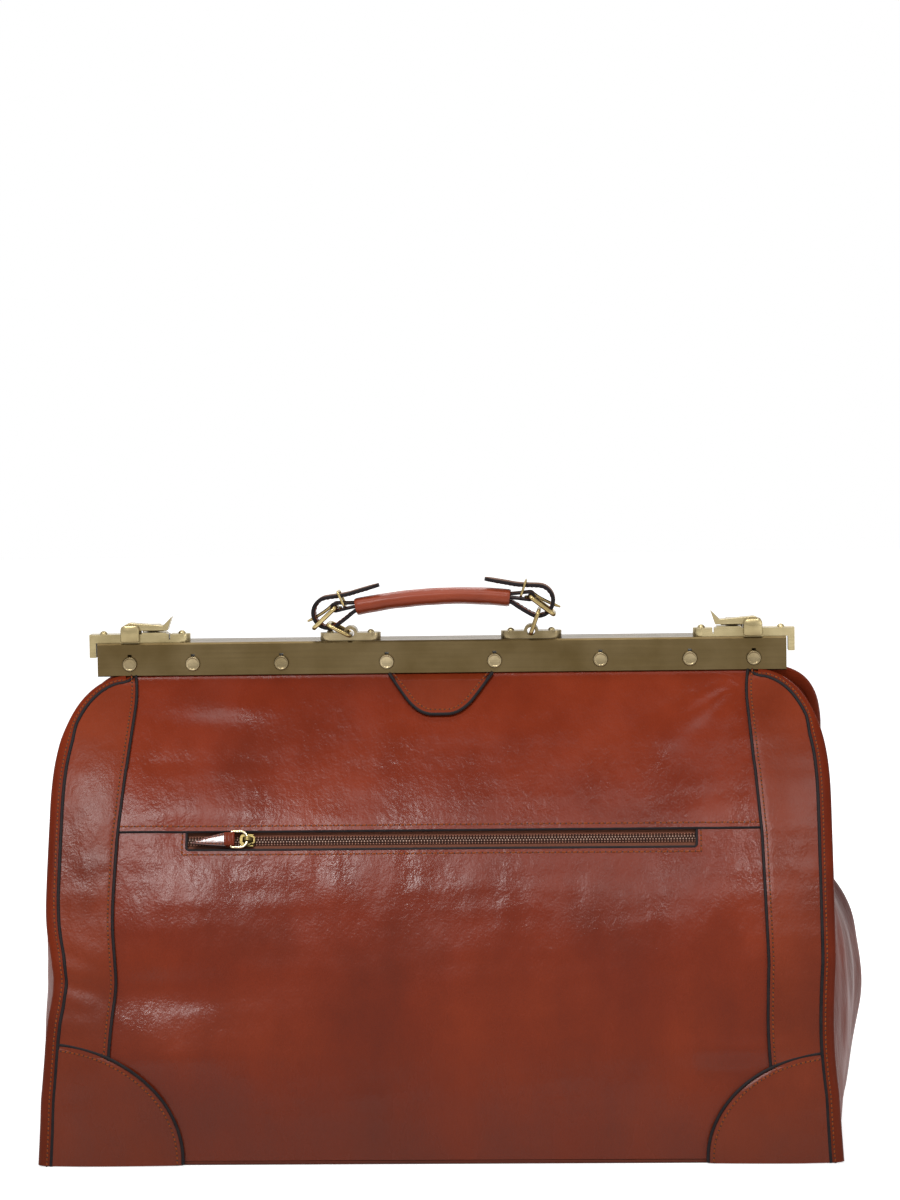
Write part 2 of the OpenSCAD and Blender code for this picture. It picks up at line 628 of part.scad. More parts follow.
// Handle bases with their eyes on the front bar
base_stud = 13.2;
eye_z = 4.7;
eye_d = 5.2;
knuckle_d = 9.4;
ring_z = eye_z - eye_d / 2 + link_wire / 2 + run_gap;
module handle_base(side) difference() {
    translate([side * base_pitch / 2, -bar_mid, bar_top]) difference() {
        union() {
            linear_extrude(base_h) {
                square([base_len - base_depth, base_depth], center = true);
                for (s = [-1, 1]) translate([s * (base_len - base_depth) / 2, 0]) circle(d = base_depth);
            }
            translate([0, -base_depth / 2, eye_z]) along_y(knuckle_d, base_depth);
        }
        translate([0, -base_depth, eye_z]) along_y(eye_d, 2 * base_depth);
        translate([-knuckle_d, -base_depth, -knuckle_d]) cube([2 * knuckle_d, 2 * base_depth, knuckle_d]);
    }
    at_front() handle_fixings() cylinder(d = stud_d + 2 * seat_gap, h = 30, center = true);
}
module handle_base_left() color(brass_tone) handle_base(-1);
module handle_base_right() color(brass_tone) handle_base(1);
module handle_base_rivets() color(brass_tone) at_front() handle_fixings() base_stud_rivet();
module base_stud_rivet() {
    translate([0, 0, base_h]) cylinder(d1 = dome_d * 0.9, d2 = dome_d * 0.5, h = 1.1);
    translate([0, 0, -bar_wall - 0.8]) cylinder(d = stud_d, h = base_h + bar_wall + 0.8 + eps);
    translate([0, 0, -bar_wall - 0.8]) cylinder(d = stud_d + 1.4, h = 0.7);
}

// Wire frame with its two bars along Y at the points a and b of the X-Z plane
module wire_frame(a, b, wire, inner) {
    run = b - a;
    translate([a[0], 0, a[1]]) rotate([0, atan2(run[0], run[1]), 0])
        wire_loop(inner + wire, norm(run), wire);
}

// Rest pose of the links: the left one leans by link_lean, the right one follows from the loops
foot_left = [-base_pitch / 2, ring_z];
foot_right = [base_pitch / 2, ring_z];
top_left = foot_left + link_len * [-sin(link_lean), cos(link_lean)];
reach = foot_right - top_left;
swing = acos((pow(loop_pitch, 2) - pow(norm(reach), 2) - pow(link_len, 2)) / (2 * link_len * norm(reach)));
top_angle = atan2(reach[1], reach[0]) + swing;
top_right = foot_right + link_len * [cos(top_angle), sin(top_angle)];
buckle_inner = strap_w + 0.6;
link_inner = buckle_inner + 2 * buckle_wire + 0.8;
module on_bar() translate([0, -bar_mid, bar_top]) children();
module link_left() color(brass_tone) on_bar() wire_frame(foot_left, top_left, link_wire, link_inner);
module link_right() color(brass_tone) on_bar() wire_frame(foot_right, top_right, link_wire, link_inner);

// Handle, in its own frame: X along the grip, Z up from the line of the strap loops
seat_left = [-loop_x, -2.4];
seat_right = [loop_x, -1.2];
handle_tilt = atan2(top_right[1] - top_left[1], top_right[0] - top_left[0])
    - atan2(seat_right[1] - seat_left[1], seat_right[0] - seat_left[0]);
module in_handle() on_bar() translate([top_left[0], 0, top_left[1]]) rotate([0, -handle_tilt, 0])
    translate([-seat_left[0], 0, -seat_left[1]]) children();

end_z = 7.8;
grip_r = (pow(grip_len / 2, 2) + pow(grip_rise, 2)) / (2 * grip_rise);
grip_half_a = asin(grip_len / 2 / grip_r);
sleeve_t = 1.5;
module grip_arc(w, t, share) translate([0, 0, end_z + grip_rise - grip_r]) rotate([0, -90, 90])
    rotate([0, 0, -grip_half_a * share]) rotate_extrude(angle = 2 * grip_half_a * share, $fn = 180)
        translate([grip_r, 0]) oval(w, t);
module oval(w, t) {
    square([t, w - t], center = true);
    for (s = [-1, 1]) translate([0, s * (w - t) / 2]) circle(d = t);
}
module grip_sleeve() color(leather_red) in_handle() difference() {
    grip_arc(grip_w, grip_t, 1);
    grip_arc(grip_w - 2 * sleeve_t, grip_t - 2 * sleeve_t, 1.1);
}
core_share = 0.8;
module grip_core() color(cloth_tone) in_handle()
    grip_arc(grip_w - 2 * sleeve_t - 0.2, grip_t - 2 * sleeve_t - 0.2, core_share);

// Band of thickness t along a path of points in the X-Z plane, extruded across the strap
function heading(p, i) = let (a = p[max(0, i - 1)], b = p[min(len(p) - 1, i + 1)]) (b - a) / norm(b - a);
function side_points(p, d) = [for (i = [0 : len(p) - 1]) let (h = heading(p, i)) p[i] + d * [-h[1], h[0]]];
module band(path, t, w) {
    left = side_points(path, t / 2);
    right = side_points(path, -t / 2);
    translate([0, w / 2, 0]) rotate([90, 0, 0]) linear_extrude(w)
        polygon(concat(left, [for (i = [len(right) - 1 : -1 : 0]) right[i]]));
}
function arc_points(c, r, a0, a1, n) = [for (i = [0 : n]) let (a = a0 + (a1 - a0) * i / n) c + r * [cos(a), sin(a)]];

// Right end of the handle; the left end is its mirror image
grip_end = grip_len / 2;
loop_c = [loop_x - 0.25, 5];
loop_r = 10;
strap_in = grip_end - 8;
strap_path = concat([[loop_x - 34, 21], [loop_x - 21.2, 18.2], [loop_x - 12.2, 15.9]], arc_points(loop_c, loop_r, 82, -112, 14),
    [[grip_end + 6, 1.2], [grip_end + 2.5, 4], [grip_end, 5.6], [strap_in, 6.6]]);
heel = [loop_x - 5.25, 8.3];
buckle_end = [loop_x + 9.45, -4.2];
heel_gap = 0.3;
chape_t = 1.6;
chape_r = buckle_wire / 2 + heel_gap + chape_t / 2;
chape_path = concat([[strap_in, 10.9], [grip_end + 1, 10.2]], arc_points(heel, chape_r, 95, -110, 10),
    [[grip_end + 1, 7.9], [strap_in, 8.7]]);
prong_d = 2.2;
prong_dir = [19.2, -8.4];
prong_len = 21;
module prong_line(d) translate([heel[0], 0, heel[1]])
    rotate([0, atan2(prong_dir[0], prong_dir[1]), 0]) cylinder(d = d, h = prong_len);
module billet() difference() {
    band(strap_path, strap_t, strap_w);
    prong_line(prong_d + 0.8);
}
module chape() difference() {
    band(chape_path, chape_t, strap_w);
    translate([heel[0] - 3.3, -2.4, heel[1] - 8]) cube([11.3, 4.8, 16]);
}
module billet_right() color(leather_red) in_handle() billet();
module billet_left() color(leather_red) in_handle() mirror([1, 0, 0]) billet();
module chapes() color(leather_red) in_handle() both_x() chape();
module buckle_right() color(brass_tone) in_handle() wire_frame(heel, buckle_end, buckle_wire, buckle_inner);
module buckle_left() color(brass_tone) in_handle() mirror([1, 0, 0])
    wire_frame(heel, buckle_end, buckle_wire, buckle_inner);
module prong() difference() {
    union() {
        translate([heel[0], -2, heel[1]]) along_y(buckle_wire + 2.6, 4);
        prong_line(prong_d);
    }
    translate([heel[0], -3, heel[1]]) along_y(buckle_wire + 2 * run_gap, 6);
}
module prongs() color(brass_tone) in_handle() both_x() prong();
keeper_wire = 1.6;
keeper_low = [loop_x - 11.05, 8.65];
keeper_high = [loop_x - 7.25, 18.3];
module keeper_right() color(brass_tone) in_handle()
    wire_frame(keeper_low, keeper_high, keeper_wire, strap_w + 0.8);
module keeper_left() color(brass_tone) in_handle() mirror([1, 0, 0])
    wire_frame(keeper_low, keeper_high, keeper_wire, strap_w + 0.8);

// Studs of the strike plates on the back bar
module strike_fixings() for (s = [-1, 1], x = [3, strike_len - 3])
    translate([s * (bar_len / 2 - strike_x - x), bar_mid, bar_top]) children();

bottom_panel();
base_board();
lower_front_panel();
lower_back_panel();
gusset_left();
gusset_right();
side_strips_front();
side_strips_back();
edge_bindings();
corner_patches_front();
corner_patches_back();
lining();
pocket_pouch();
zip_tape();
zip_coil();
hinge_pin_left();
hinge_pin_right();
hinge_plates();
zip_slider();
zip_ring();
zip_tab();
front_bar();
front_bow();
front_rivets();
upper_front_panel();
upper_gusset_front_left();
upper_gusset_front_right();
shoulder_strips_front();
bar_patch_front();
latch_base_left();
latch_base_right();
latch_rivets();
latch_pins();
handle_base_left();
handle_base_right();
handle_base_rivets();
back_bar();
back_bow();
back_rivets();
upper_back_panel();
upper_gusset_back_left();
upper_gusset_back_right();
shoulder_strips_back();
bar_patch_back();
strike_plates();
latch_lever_left();
latch_lever_right();
link_left();
link_right();
grip_sleeve();
grip_core();
billet_left();
billet_right();
chapes();
buckle_left();
buckle_right();
prongs();
keeper_left();
keeper_right();
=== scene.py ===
"""Looks of a leather travel bag with a hinged brass frame.

Sizes are in millimetres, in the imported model's frame: the front faces -Y and the base lies at Z 0.
side is FRONT or BACK, and right is 1 at the end towards +X and -1 at the other.
"""

import json
import math

import bpy
import numpy as np
from mathutils import Matrix, Vector


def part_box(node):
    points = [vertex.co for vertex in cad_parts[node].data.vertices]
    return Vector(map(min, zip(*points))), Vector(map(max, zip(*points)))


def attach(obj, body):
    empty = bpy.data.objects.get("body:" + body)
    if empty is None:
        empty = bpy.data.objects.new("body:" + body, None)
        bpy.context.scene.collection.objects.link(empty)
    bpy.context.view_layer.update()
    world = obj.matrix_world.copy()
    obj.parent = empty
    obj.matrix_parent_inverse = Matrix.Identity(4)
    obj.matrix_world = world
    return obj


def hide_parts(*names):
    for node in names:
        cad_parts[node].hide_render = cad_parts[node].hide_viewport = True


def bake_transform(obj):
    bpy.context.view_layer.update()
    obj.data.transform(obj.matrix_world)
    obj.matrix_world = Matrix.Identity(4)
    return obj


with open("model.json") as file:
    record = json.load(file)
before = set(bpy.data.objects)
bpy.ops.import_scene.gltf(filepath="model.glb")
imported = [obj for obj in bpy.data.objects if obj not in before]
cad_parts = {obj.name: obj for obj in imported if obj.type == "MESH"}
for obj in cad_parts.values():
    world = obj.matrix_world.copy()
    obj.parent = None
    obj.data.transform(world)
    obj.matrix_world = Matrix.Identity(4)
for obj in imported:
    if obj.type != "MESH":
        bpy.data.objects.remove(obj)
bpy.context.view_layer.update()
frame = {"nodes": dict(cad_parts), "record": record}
MM = 0.001


def with_settings(item, **settings):
    for key, value in settings.items():
        setattr(item, key, value)
    return item


def box_mm(node):
    low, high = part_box(node)
    return np.array(low) / MM, np.array(high) / MM


# Sizes of the bag, from the frame where a node has them
HALF_W, HALF_D, BOTTOM_T = box_mm("bottom_panel")[1]
BAR_LOW, BAR_HIGH = box_mm("front_bar")
BAR_Z, BAR_TOP = BAR_LOW[2], BAR_HIGH[2]
BAR_HALF, BAR_OUT = BAR_HIGH[0], -BAR_LOW[1]
BAR_MID = -(BAR_LOW[1] + BAR_HIGH[1]) / 2
BAR_WALL = 1.4
MOUTH_X, MOUTH_Y = 197, BAR_OUT - BAR_WALL - 0.1
SHOULDER_H = 56
SHOULDER_Z = BAR_Z - SHOULDER_H
EDGE_IN, WAIST_IN, WAIST_Z, WAIST_REACH = 3, 5, 82, 40
PANEL_IN, SEAM_LAP, BAR_DEPTH = 2.5, 2.4, 9
PINCH_Z, PINCH_EDGE, PINCH_STRIP = 116, 6, 4
LEATHER = 2.4
SPLIT_Z = box_mm("lower_front_panel")[1][2]
SEAM_Z = 202.6

# Layers over the panels: how far each outer face stands out, and their sizes
SEAM_LIFT, STRIP_OFF, TONGUE_OFF, PATCH_OFF, BINDING_OFF = 1.1, 2.2, 2.6, 2.9, 3.0
BINDING_W, STRIP_W = 7.2, 39
PATCH_SIZE = {-1: (95, 76), 1: (88, 68)}
PATCH_ROUND = 5
STRIP_T, PATCH_T, TONGUE_T, PLEAT_T, LINING_T = 1.5, 1.8, 1.9, 0.7, 1.5
# Materials of a sheet's outer face, inner face and rim
PANEL, TRIM = ("leather", "leather_back", "edge"), ("leather_trim", "leather_back", "edge")
SOFT, PLEAT = ("leather_side", "leather_back", "leather_side"), ("leather_side", "leather_back", "edge")
# How far each row of stitches lies from its edge, and the thicker stitches beside the zip's seam
SEAM_SEWN, STRIP_SEWN, PATCH_SEWN, TONGUE_SEWN, BAND_SEWN = 2.7, 2.9, 3.6, 2.2, 2.6
BOLD = {"pitch": 3.5, "length": 2.7, "radius": 0.58}
HOLE_SIDES = 8
MESH_STEP = 3

# Zip window in the front
ZIP_Z, ZIP_X, ZIP_LEN, ZIP_LOW = 197.2, 1.5, 323, 191.4
ZIP_LEFT, ZIP_RIGHT = ZIP_X - ZIP_LEN / 2, ZIP_X + ZIP_LEN / 2
SLIDER_X = 39 - ZIP_LEN / 2

FRONT, BACK = -1, 1
SIDE_NAME = {FRONT: "front", BACK: "back"}
END_NAME = {-1: "left", 1: "right"}
UPPER_BODY = {FRONT: "front_frame", BACK: "back_frame"}


def place_name(side, right):
    return f"{SIDE_NAME[side]}_{END_NAME[right]}"


# Long creases: how far out, lean, place and size up the wall, place and size along it
CREASES = ((4.6, 0, 66, 19, -168, 46), (-3.4, 0, 107, 14, -176, 52), (1.7, 0, 70, 8, 186, 26),
           (-1.0, 0, 57, 7, 180, 30), (1.2, 0.12, 264, 7, -140, 34), (-0.9, 0.12, 248, 7, -150, 34))
# Folds that fan out below the bar's right end: how far out, direction in degrees and its spread
PULL_X, PULLS = 196, ((2.0, 36, 8), (-1.3, 19, 7), (0.9, 62, 9))
# The gusset's middle: share of the height, and how far past the base it stands
GUSSET_LINE = ((0, 0), (0.17, 12), (0.34, 20), (0.5, 10), (0.58, -11), (0.66, -36), (0.7, -43), (0.85, -52),
               (1, -58))


# Shape of the bag

def spread(*values):
    """The values as float arrays of one shape."""
    return np.broadcast_arrays(*(np.asarray(value, float) for value in values))


def points_of(*values):
    """Points from their coordinates, each of which is a number or an array."""
    return np.stack(spread(*values), -1)


def unit(v):
    return v / np.maximum(np.linalg.norm(v, axis=-1, keepdims=True), 1e-9)


def bell(value, centre, width):
    return np.exp(-((value - centre) / width) ** 2)


def ripple(u, v, size_u, size_v, seed, count=14):
    """A smooth random field, mostly from -1 to 1, with features of two given sizes."""
    rng = np.random.default_rng(seed)
    total = 0
    for _ in range(count):
        turn, rate, start = rng.uniform(0, 2 * np.pi), rng.uniform(0.5, 1.4), rng.uniform(0, 2 * np.pi)
        along = u * np.cos(turn) / size_u + v * np.sin(turn) / size_v
        total = total + np.cos(2 * np.pi * rate * along + start)
    return total / math.sqrt(count)


def wall_y(z):
    """Half depth of the wall's outer face at height z."""
    return MOUTH_Y + (HALF_D - MOUTH_Y) * np.maximum(0, 1 - (np.maximum(z, 0.0) / BAR_Z) ** 2)


def wall_slope(z):
    return np.where(z < BAR_Z, -2 * (HALF_D - MOUTH_Y) * z / BAR_Z ** 2, 0)


def waist_x(z):
    drawn = (WAIST_IN - EDGE_IN) * np.cos(np.pi / 2 * np.minimum(1, np.abs(z - WAIST_Z) / WAIST_REACH))
    return HALF_W - EDGE_IN - drawn + EDGE_IN * np.maximum(0, 1 - z / WAIST_Z) ** 2


def pinch(z, side, right):
    """The front's left edge is pushed in at one height."""
    return bell(z, PINCH_Z, 24) * (side == FRONT and right < 0)


def edge_x(z, side=FRONT, right=-1):
    """Half width at height z: a drawn-in waist below a round shoulder, fuller at the back's right."""
    high, full = (SHOULDER_H, 3.2) if side == BACK and right > 0 else (80, 2.5)
    rise = np.clip((z - BAR_Z + high) / high, 0, 1)
    shoulder = MOUTH_X + (waist_x(z) - MOUTH_X) * (1 - rise ** full) ** (1 / full)
    return np.where(rise > 0, shoulder, waist_x(z)) - PINCH_EDGE * pinch(z, side, right)


def strip_x(z, side=FRONT, right=1):
    """Inner seam of the side strips."""
    lean = np.interp(z / BAR_Z, [0, 0.34, 0.67, 0.83], [0, -1, -4, -8])
    top = waist_x(SHOULDER_Z) - STRIP_W - 7.8
    above = top - 5 * (z - SHOULDER_Z) / SHOULDER_H + 3 * np.clip((z - BAR_Z + 20) / 20, 0, 1) ** 2
    return np.where(z < SHOULDER_Z, waist_x(z) - STRIP_W + lean, above) - PINCH_STRIP * pinch(z, side, right)


def tuck(z):
    """1 below the bar, falling to 0 where a layer slips behind the bar's face."""
    return np.clip((BAR_Z - 0.3 - z) / 5, 0, 1)


def roll_off(distance, width=2.2, depth=0.7):
    """How far a layer sinks near its edge."""
    return -depth * np.exp(-(distance / width) ** 2)


def relief(x, z, side):
    """How far the soft leather swells or sinks at a place on the front or back."""
    seed = 10 if side == FRONT else 40
    calm = np.clip((BAR_Z - z) / 30, 0, 1) * np.clip(z / 25, 0, 1)
    at_zip = 1 - 0.8 * bell(z, ZIP_Z + 2, 14) * np.clip((185 - np.abs(x)) / 20, 0, 1) * (side == FRONT)
    swell = 1.1 * ripple(x, z, 230, 150, seed) + 0.25 * ripple(x, z, 75, 110, seed + 1)
    swell = swell + bell(z, 146, 26) * (2.8 * bell(x, -155, 50) + 1.8 * bell(x, 150, 50))
    streaks = 0.2 * bell(z, 165, 26) + 0.06
    folds = streaks * ripple(x, z, 24, 60, seed + 2) + 0.12 * ripple(x, z, 60, 18, seed + 3)
    puff = 2.5 * np.clip(1 - (x / 235) ** 2, 0, 1) * np.sin(np.pi * np.clip(z / 190, 0, 1))
    crease = sum(out * bell(z + lean * x, at_z, high) * bell(x, at_x, wide)
                 for out, lean, at_z, high, at_x, wide in CREASES)
    crumple = 0.6 * bell(x, -226, 14) * bell(z, 112, 24) * np.sin(z / 2.6 + x / 9)
    away = np.hypot(x - PULL_X, z - BAR_Z + 4)
    drop = np.degrees(np.arctan2(BAR_Z - 4 - z, PULL_X - x))
    pull = np.clip(away / 8, 0, 1) * np.clip(1 - away / 95, 0, 1) * (x < PULL_X)
    pull = pull * sum(out * bell(drop, turn, wide) for out, turn, wide in PULLS)
    return calm * at_zip * (swell + folds + puff + crease + crumple) + pull * np.clip((BAR_Z - z) / 6, 0, 1)


def wall(x, z, side, off=0.0):
    """Points of the front or back wall, off outside its outer face."""
    x, z, off = spread(x, z, off)
    slope = wall_slope(z)
    size = np.sqrt(1 + slope ** 2)
    reach = off + relief(x, z, side)
    return points_of(x, side * (wall_y(z) + reach / size), z - reach * slope / size)


def middle_x(z, right):
    """Middle of the gusset: it swells low down, less at the left, and folds in towards the hinge."""
    share, swell = np.array(GUSSET_LINE).T
    swell = np.where(swell > 0, swell * (1 if right > 0 else 0.45), swell)
    near = [np.interp((z + step) / BAR_Z, share, swell) for step in range(-18, 19, 3)]
    return HALF_W + sum(near) / len(near)


def gusset(f, z, right):
    """Points of a gusset: f runs from -1 at the front edge to 1 at the back edge."""
    f, z = spread(f, z)
    seed = 70 if right > 0 else 90
    at_hinge = bell(z, 192, 28) * bell(f, 0, 0.5)
    loose = (1 - f ** 4) * np.clip(z / 30, 0, 1) * np.clip((BAR_Z + 10 - z) / 60, 0.1, 1) * (1 - at_hinge)
    folds = 2.4 * ripple(f * 95, z, 46, 230, seed) + 0.8 * ripple(f * 95, z, 22, 90, seed + 1)
    middle = middle_x(z, right)
    edge = np.where(f > 0, edge_x(z, BACK, right), edge_x(z, FRONT, right))
    x = middle + (edge - 0.6 - middle) * f ** 2 + loose * folds * (1 if right > 0 else 0.6) + 3.2 * at_hinge
    return points_of(right * x, f * (wall_y(z) - LEATHER - 0.1), z)


# Mesh building

def normals_of(p):
    return unit(np.cross(np.gradient(p, axis=1), np.gradient(p, axis=0)))


def tangents(line):
    return unit(np.gradient(line, axis=0))


def circle(radius, sides=10, squash=1.0):
    turn = np.linspace(0, 2 * np.pi, sides, endpoint=False)
    return np.stack([radius * np.cos(turn), squash * radius * np.sin(turn)], -1)


def squared(sides, power):
    """The angles of a circle's points, and both their coordinates pushed out towards a square."""
    turn = np.linspace(0, 2 * np.pi, sides, endpoint=False)
    return turn, *(np.sign(v) * np.abs(v) ** power for v in (np.cos(turn), np.sin(turn)))


def mirrored(points):
    """The points (a, b), and back again with b turned over."""
    return points + [(a, -b) for a, b in points[::-1]]


def loft(line, across, up, profile, wide=1.0, high=1.0):
    """A profile of (across, up) points at each point of a line, scaled there in both directions."""
    profile = np.asarray(profile, float)
    wide, high = (np.broadcast_to(scale, len(line))[:, None] for scale in (wide, high))
    return (line[:, None] + (across * wide)[:, None] * profile[None, :, :1]
            + (up * high)[:, None] * profile[None, :, 1:])


def quads(rows, cols, around=False, turned=False):
    """The quads of a grid of points: each one's row, column and four corner numbers."""
    for r in range(rows - 1):
        for c in range(cols if around else cols - 1):
            d = (c + 1) % cols
            quad = [r * cols + c, r * cols + d, (r + 1) * cols + d, (r + 1) * cols + c]
            yield r, c, quad[::-1] if turned else quad


class Parts:
    """Collects faces in millimetres, then makes one object of them. kinds are its materials' names."""

    def __init__(self, *kinds):
        self.kinds, self.points, self.faces, self.marks, self.count = kinds, [], [], [], 0

    def add(self, points):
        first = self.count
        flat = np.asarray(points, float).reshape(-1, 3)
        self.points.append(flat)
        self.count += len(flat)
        return first

    def face(self, corners, kind=0):
        self.faces.append(tuple(int(c) for c in corners))
        self.marks.append(kind)

    def ring(self, p, kind=0, turned=False):
        """Quads round rows of points, each a ring. kind is one material, or one for each column."""
        first, kinds = self.add(p), np.broadcast_to(kind, p.shape[1])
        for _, c, quad in quads(*p.shape[:2], True, turned):
            self.face([first + q for q in quad], int(kinds[c]))
        return first

    def solid(self, p, kind=0, ends=None, turned=False):
        """The same with both ends closed. ends are their materials, where they differ from kind."""
        rows, count = p.shape[:2]
        first = self.ring(p, kind, turned)
        last, way = first + (rows - 1) * count, 1 if turned else -1
        low, high = ends or (kind, kind)
        self.face(range(first, first + count)[::way], low)
        self.face(range(last, last + count)[::-way], high)

    def shell(self, p, thick, keep=None, kinds=(0, 1, 2), turned=False, normals=None):
        """A sheet with its outer face at p, its inner face behind it, and a rim round what is kept."""
        if normals is None:
            normals = normals_of(p) * (-1 if turned else 1)
        outer = self.add(p)
        inner = self.add(p - normals * thick)
        sides = {}
        for r, c, quad in quads(*p.shape[:2], turned=turned):
            if keep is None or keep[r, c]:
                self.face([outer + q for q in quad], kinds[0])
                self.face([inner + q for q in quad[::-1]], kinds[1])
                sides.update(dict.fromkeys(zip(quad, quad[1:] + quad[:1])))
        for a, b in sides:
            if (b, a) not in sides:
                self.face([outer + b, outer + a, inner + a, inner + b], kinds[2])

    def sweep(self, line, across, up, profile):
        """Moves a profile of (across, up) points along a line."""
        self.solid(loft(line, across, up, profile))

    def tube(self, line, radius, sides=10):
        """A closed loop of wire."""
        p = loft(line, *steady_frames(line, closed=True), circle(radius, sides))
        self.ring(np.concatenate([p, p[:1]]))

    def lathe(self, profile, centre, axis, sides, kind=0):
        """Turns a profile of (radius, along the axis) points, from its top down, round an axis."""
        axis = unit(np.asarray(axis, float))
        side = unit(np.cross(axis, [0.31, 0.83, 0.46]))
        other = np.cross(axis, side)
        turn = np.linspace(0, 2 * np.pi, sides, endpoint=False)
        ring = np.cos(turn)[:, None] * side + np.sin(turn)[:, None] * other
        self.ring(np.array([np.asarray(centre) + r * ring + h * axis for r, h in profile]), kind, turned=True)

    def threads(self, starts, ends, ups, radius, kind=0, flat=0.8):
        """Short threads with soft ends, from each start to each end."""
        shares = np.array([0, 0.12, 0.35, 0.65, 0.88, 1])
        widths = np.array([0.35, 0.8, 1, 1, 0.8, 0.35]) * radius
        for start, end, up in zip(starts, ends, ups):
            side = np.cross(unit(end - start), up)
            ring = circle(1, 6, flat) @ np.array([side, up])
            p = start + shares[:, None, None] * (end - start) + widths[:, None, None] * ring[None]
            self.solid(p, kind, turned=True)

    def make(self, name, sharp=50):
        mesh = bpy.data.meshes.new(name)
        mesh.from_pydata((np.concatenate(self.points) * MM).tolist(), [], self.faces)
        for kind in self.kinds:
            mesh.materials.append(MATERIALS[kind])
        mesh.polygons.foreach_set("material_index", self.marks)
        mesh.polygons.foreach_set("use_smooth", [True] * len(self.faces))
        mesh.set_sharp_from_angle(angle=math.radians(sharp))
        mesh.update()
        return shown(name, mesh)


def sheet(name, p, thick, turned, kinds, sharp=50, **more):
    """An object that is one sheet with its outer face at p. turned puts that face on the other side."""
    parts = Parts(*kinds)
    parts.shell(p, thick, turned=turned, **more)
    return parts.make(name, sharp)


def shown(name, data):
    """A new object in the scene."""
    item = bpy.data.objects.new(name, data)
    bpy.context.scene.collection.objects.link(item)
    return item


def steady_frames(line, closed=False):
    """Two directions across a line, carried along it without twist."""
    t = unit(np.roll(line, -1, 0) - np.roll(line, 1, 0)) if closed else tangents(line)
    side = unit(np.cross(t[0], [0.12, 0.27, 0.95]))
    across = []
    for tangent in t:
        side = unit(side - tangent * (side @ tangent))
        across.append(side)
    across = np.array(across)
    return across, np.cross(t, across)


def length_along(line):
    return np.concatenate([[0], np.cumsum(np.linalg.norm(np.diff(line, axis=0), axis=1))])


def resample(line, step, closed=False):
    """The same line with points step apart, and the length between its ends kept."""
    line = np.asarray(line, float)
    if closed:
        line = np.concatenate([line, line[:1]])
    run = length_along(line)
    at = np.linspace(0, run[-1], max(2, int(round(run[-1] / step)) + 1))
    found = np.stack([np.interp(at, run, line[:, k]) for k in range(line.shape[1])], -1)
    return found[:-1] if closed else found


def spaced(low, high, step, *stops):
    """Even values from low to high, with the given stops among them."""
    marks = sorted({low, high, *[s for s in stops if low < s < high]})
    found = [low]
    for a, b in zip(marks, marks[1:]):
        count = max(1, int(round((b - a) / step)))
        found += [a + (b - a) * (i + 1) / count for i in range(count)]
    return np.array(found)


def wall_line(x, z, side, off=0.0, step=2.5):
    """A line on the wall with the directions across it and out of it."""
    x, z = resample(points_of(x, z), step).T
    p = wall(x, z, side, off)
    dx = wall(x + 1, z, side, off) - wall(x - 1, z, side, off)
    dz = wall(x, z + 1, side, off) - wall(x, z - 1, side, off)
    up = unit(np.cross(dx, dz)) * (1 if side == FRONT else -1)
    return p, unit(np.cross(up, tangents(p))), up


def bead(parts, x, z, side, off, radius):
    """A painted edge along a line on the wall."""
    parts.sweep(*wall_line(x, z, side, off), circle(radius, 8, 0.8))


def stitch_row(parts, line, across, up, pitch=2.8, length=2.0, lift=0.0, radius=0.48):
    """Slanted threads along a line, with a dark hole of painted shade between each two."""
    run = length_along(line)
    count = max(1, int(run[-1] / pitch))
    gap = run[-1] / count
    at = (np.arange(count) + 0.5) * gap

    def place(s, values):
        return np.stack([np.interp(s, run, values[:, k]) for k in range(3)], -1)

    mid_up = unit(place(at, up))
    base, slant = lift * mid_up, 0.16 * unit(place(at, across))
    parts.threads(place(at - length / 2, line) + base - slant, place(at + length / 2, line) + base + slant,
                  mid_up, radius)
    between = np.append(at - gap / 2, run[-1])
    for centre, n, e in zip(place(between, line), unit(place(between, up)), unit(place(between, across))):
        t = np.cross(n, e)
        spot = centre + lift * n
        ring = list(spot + circle(0.5, HOLE_SIDES) @ np.array([e, t]) + 0.05 * n)
        first = parts.add([spot + 0.16 * n] + ring + [spot - 0.3 * n])
        for i in range(HOLE_SIDES):
            here, after = first + 1 + i, first + 1 + (i + 1) % HOLE_SIDES
            parts.face([first, here, after], 1)
            parts.face([first + 1 + HOLE_SIDES, after, here], 1)


def wall_stitches(parts, x, z, side, off, **sizes):
    stitch_row(parts, *wall_line(x, z, side, off), **sizes)


# Materials

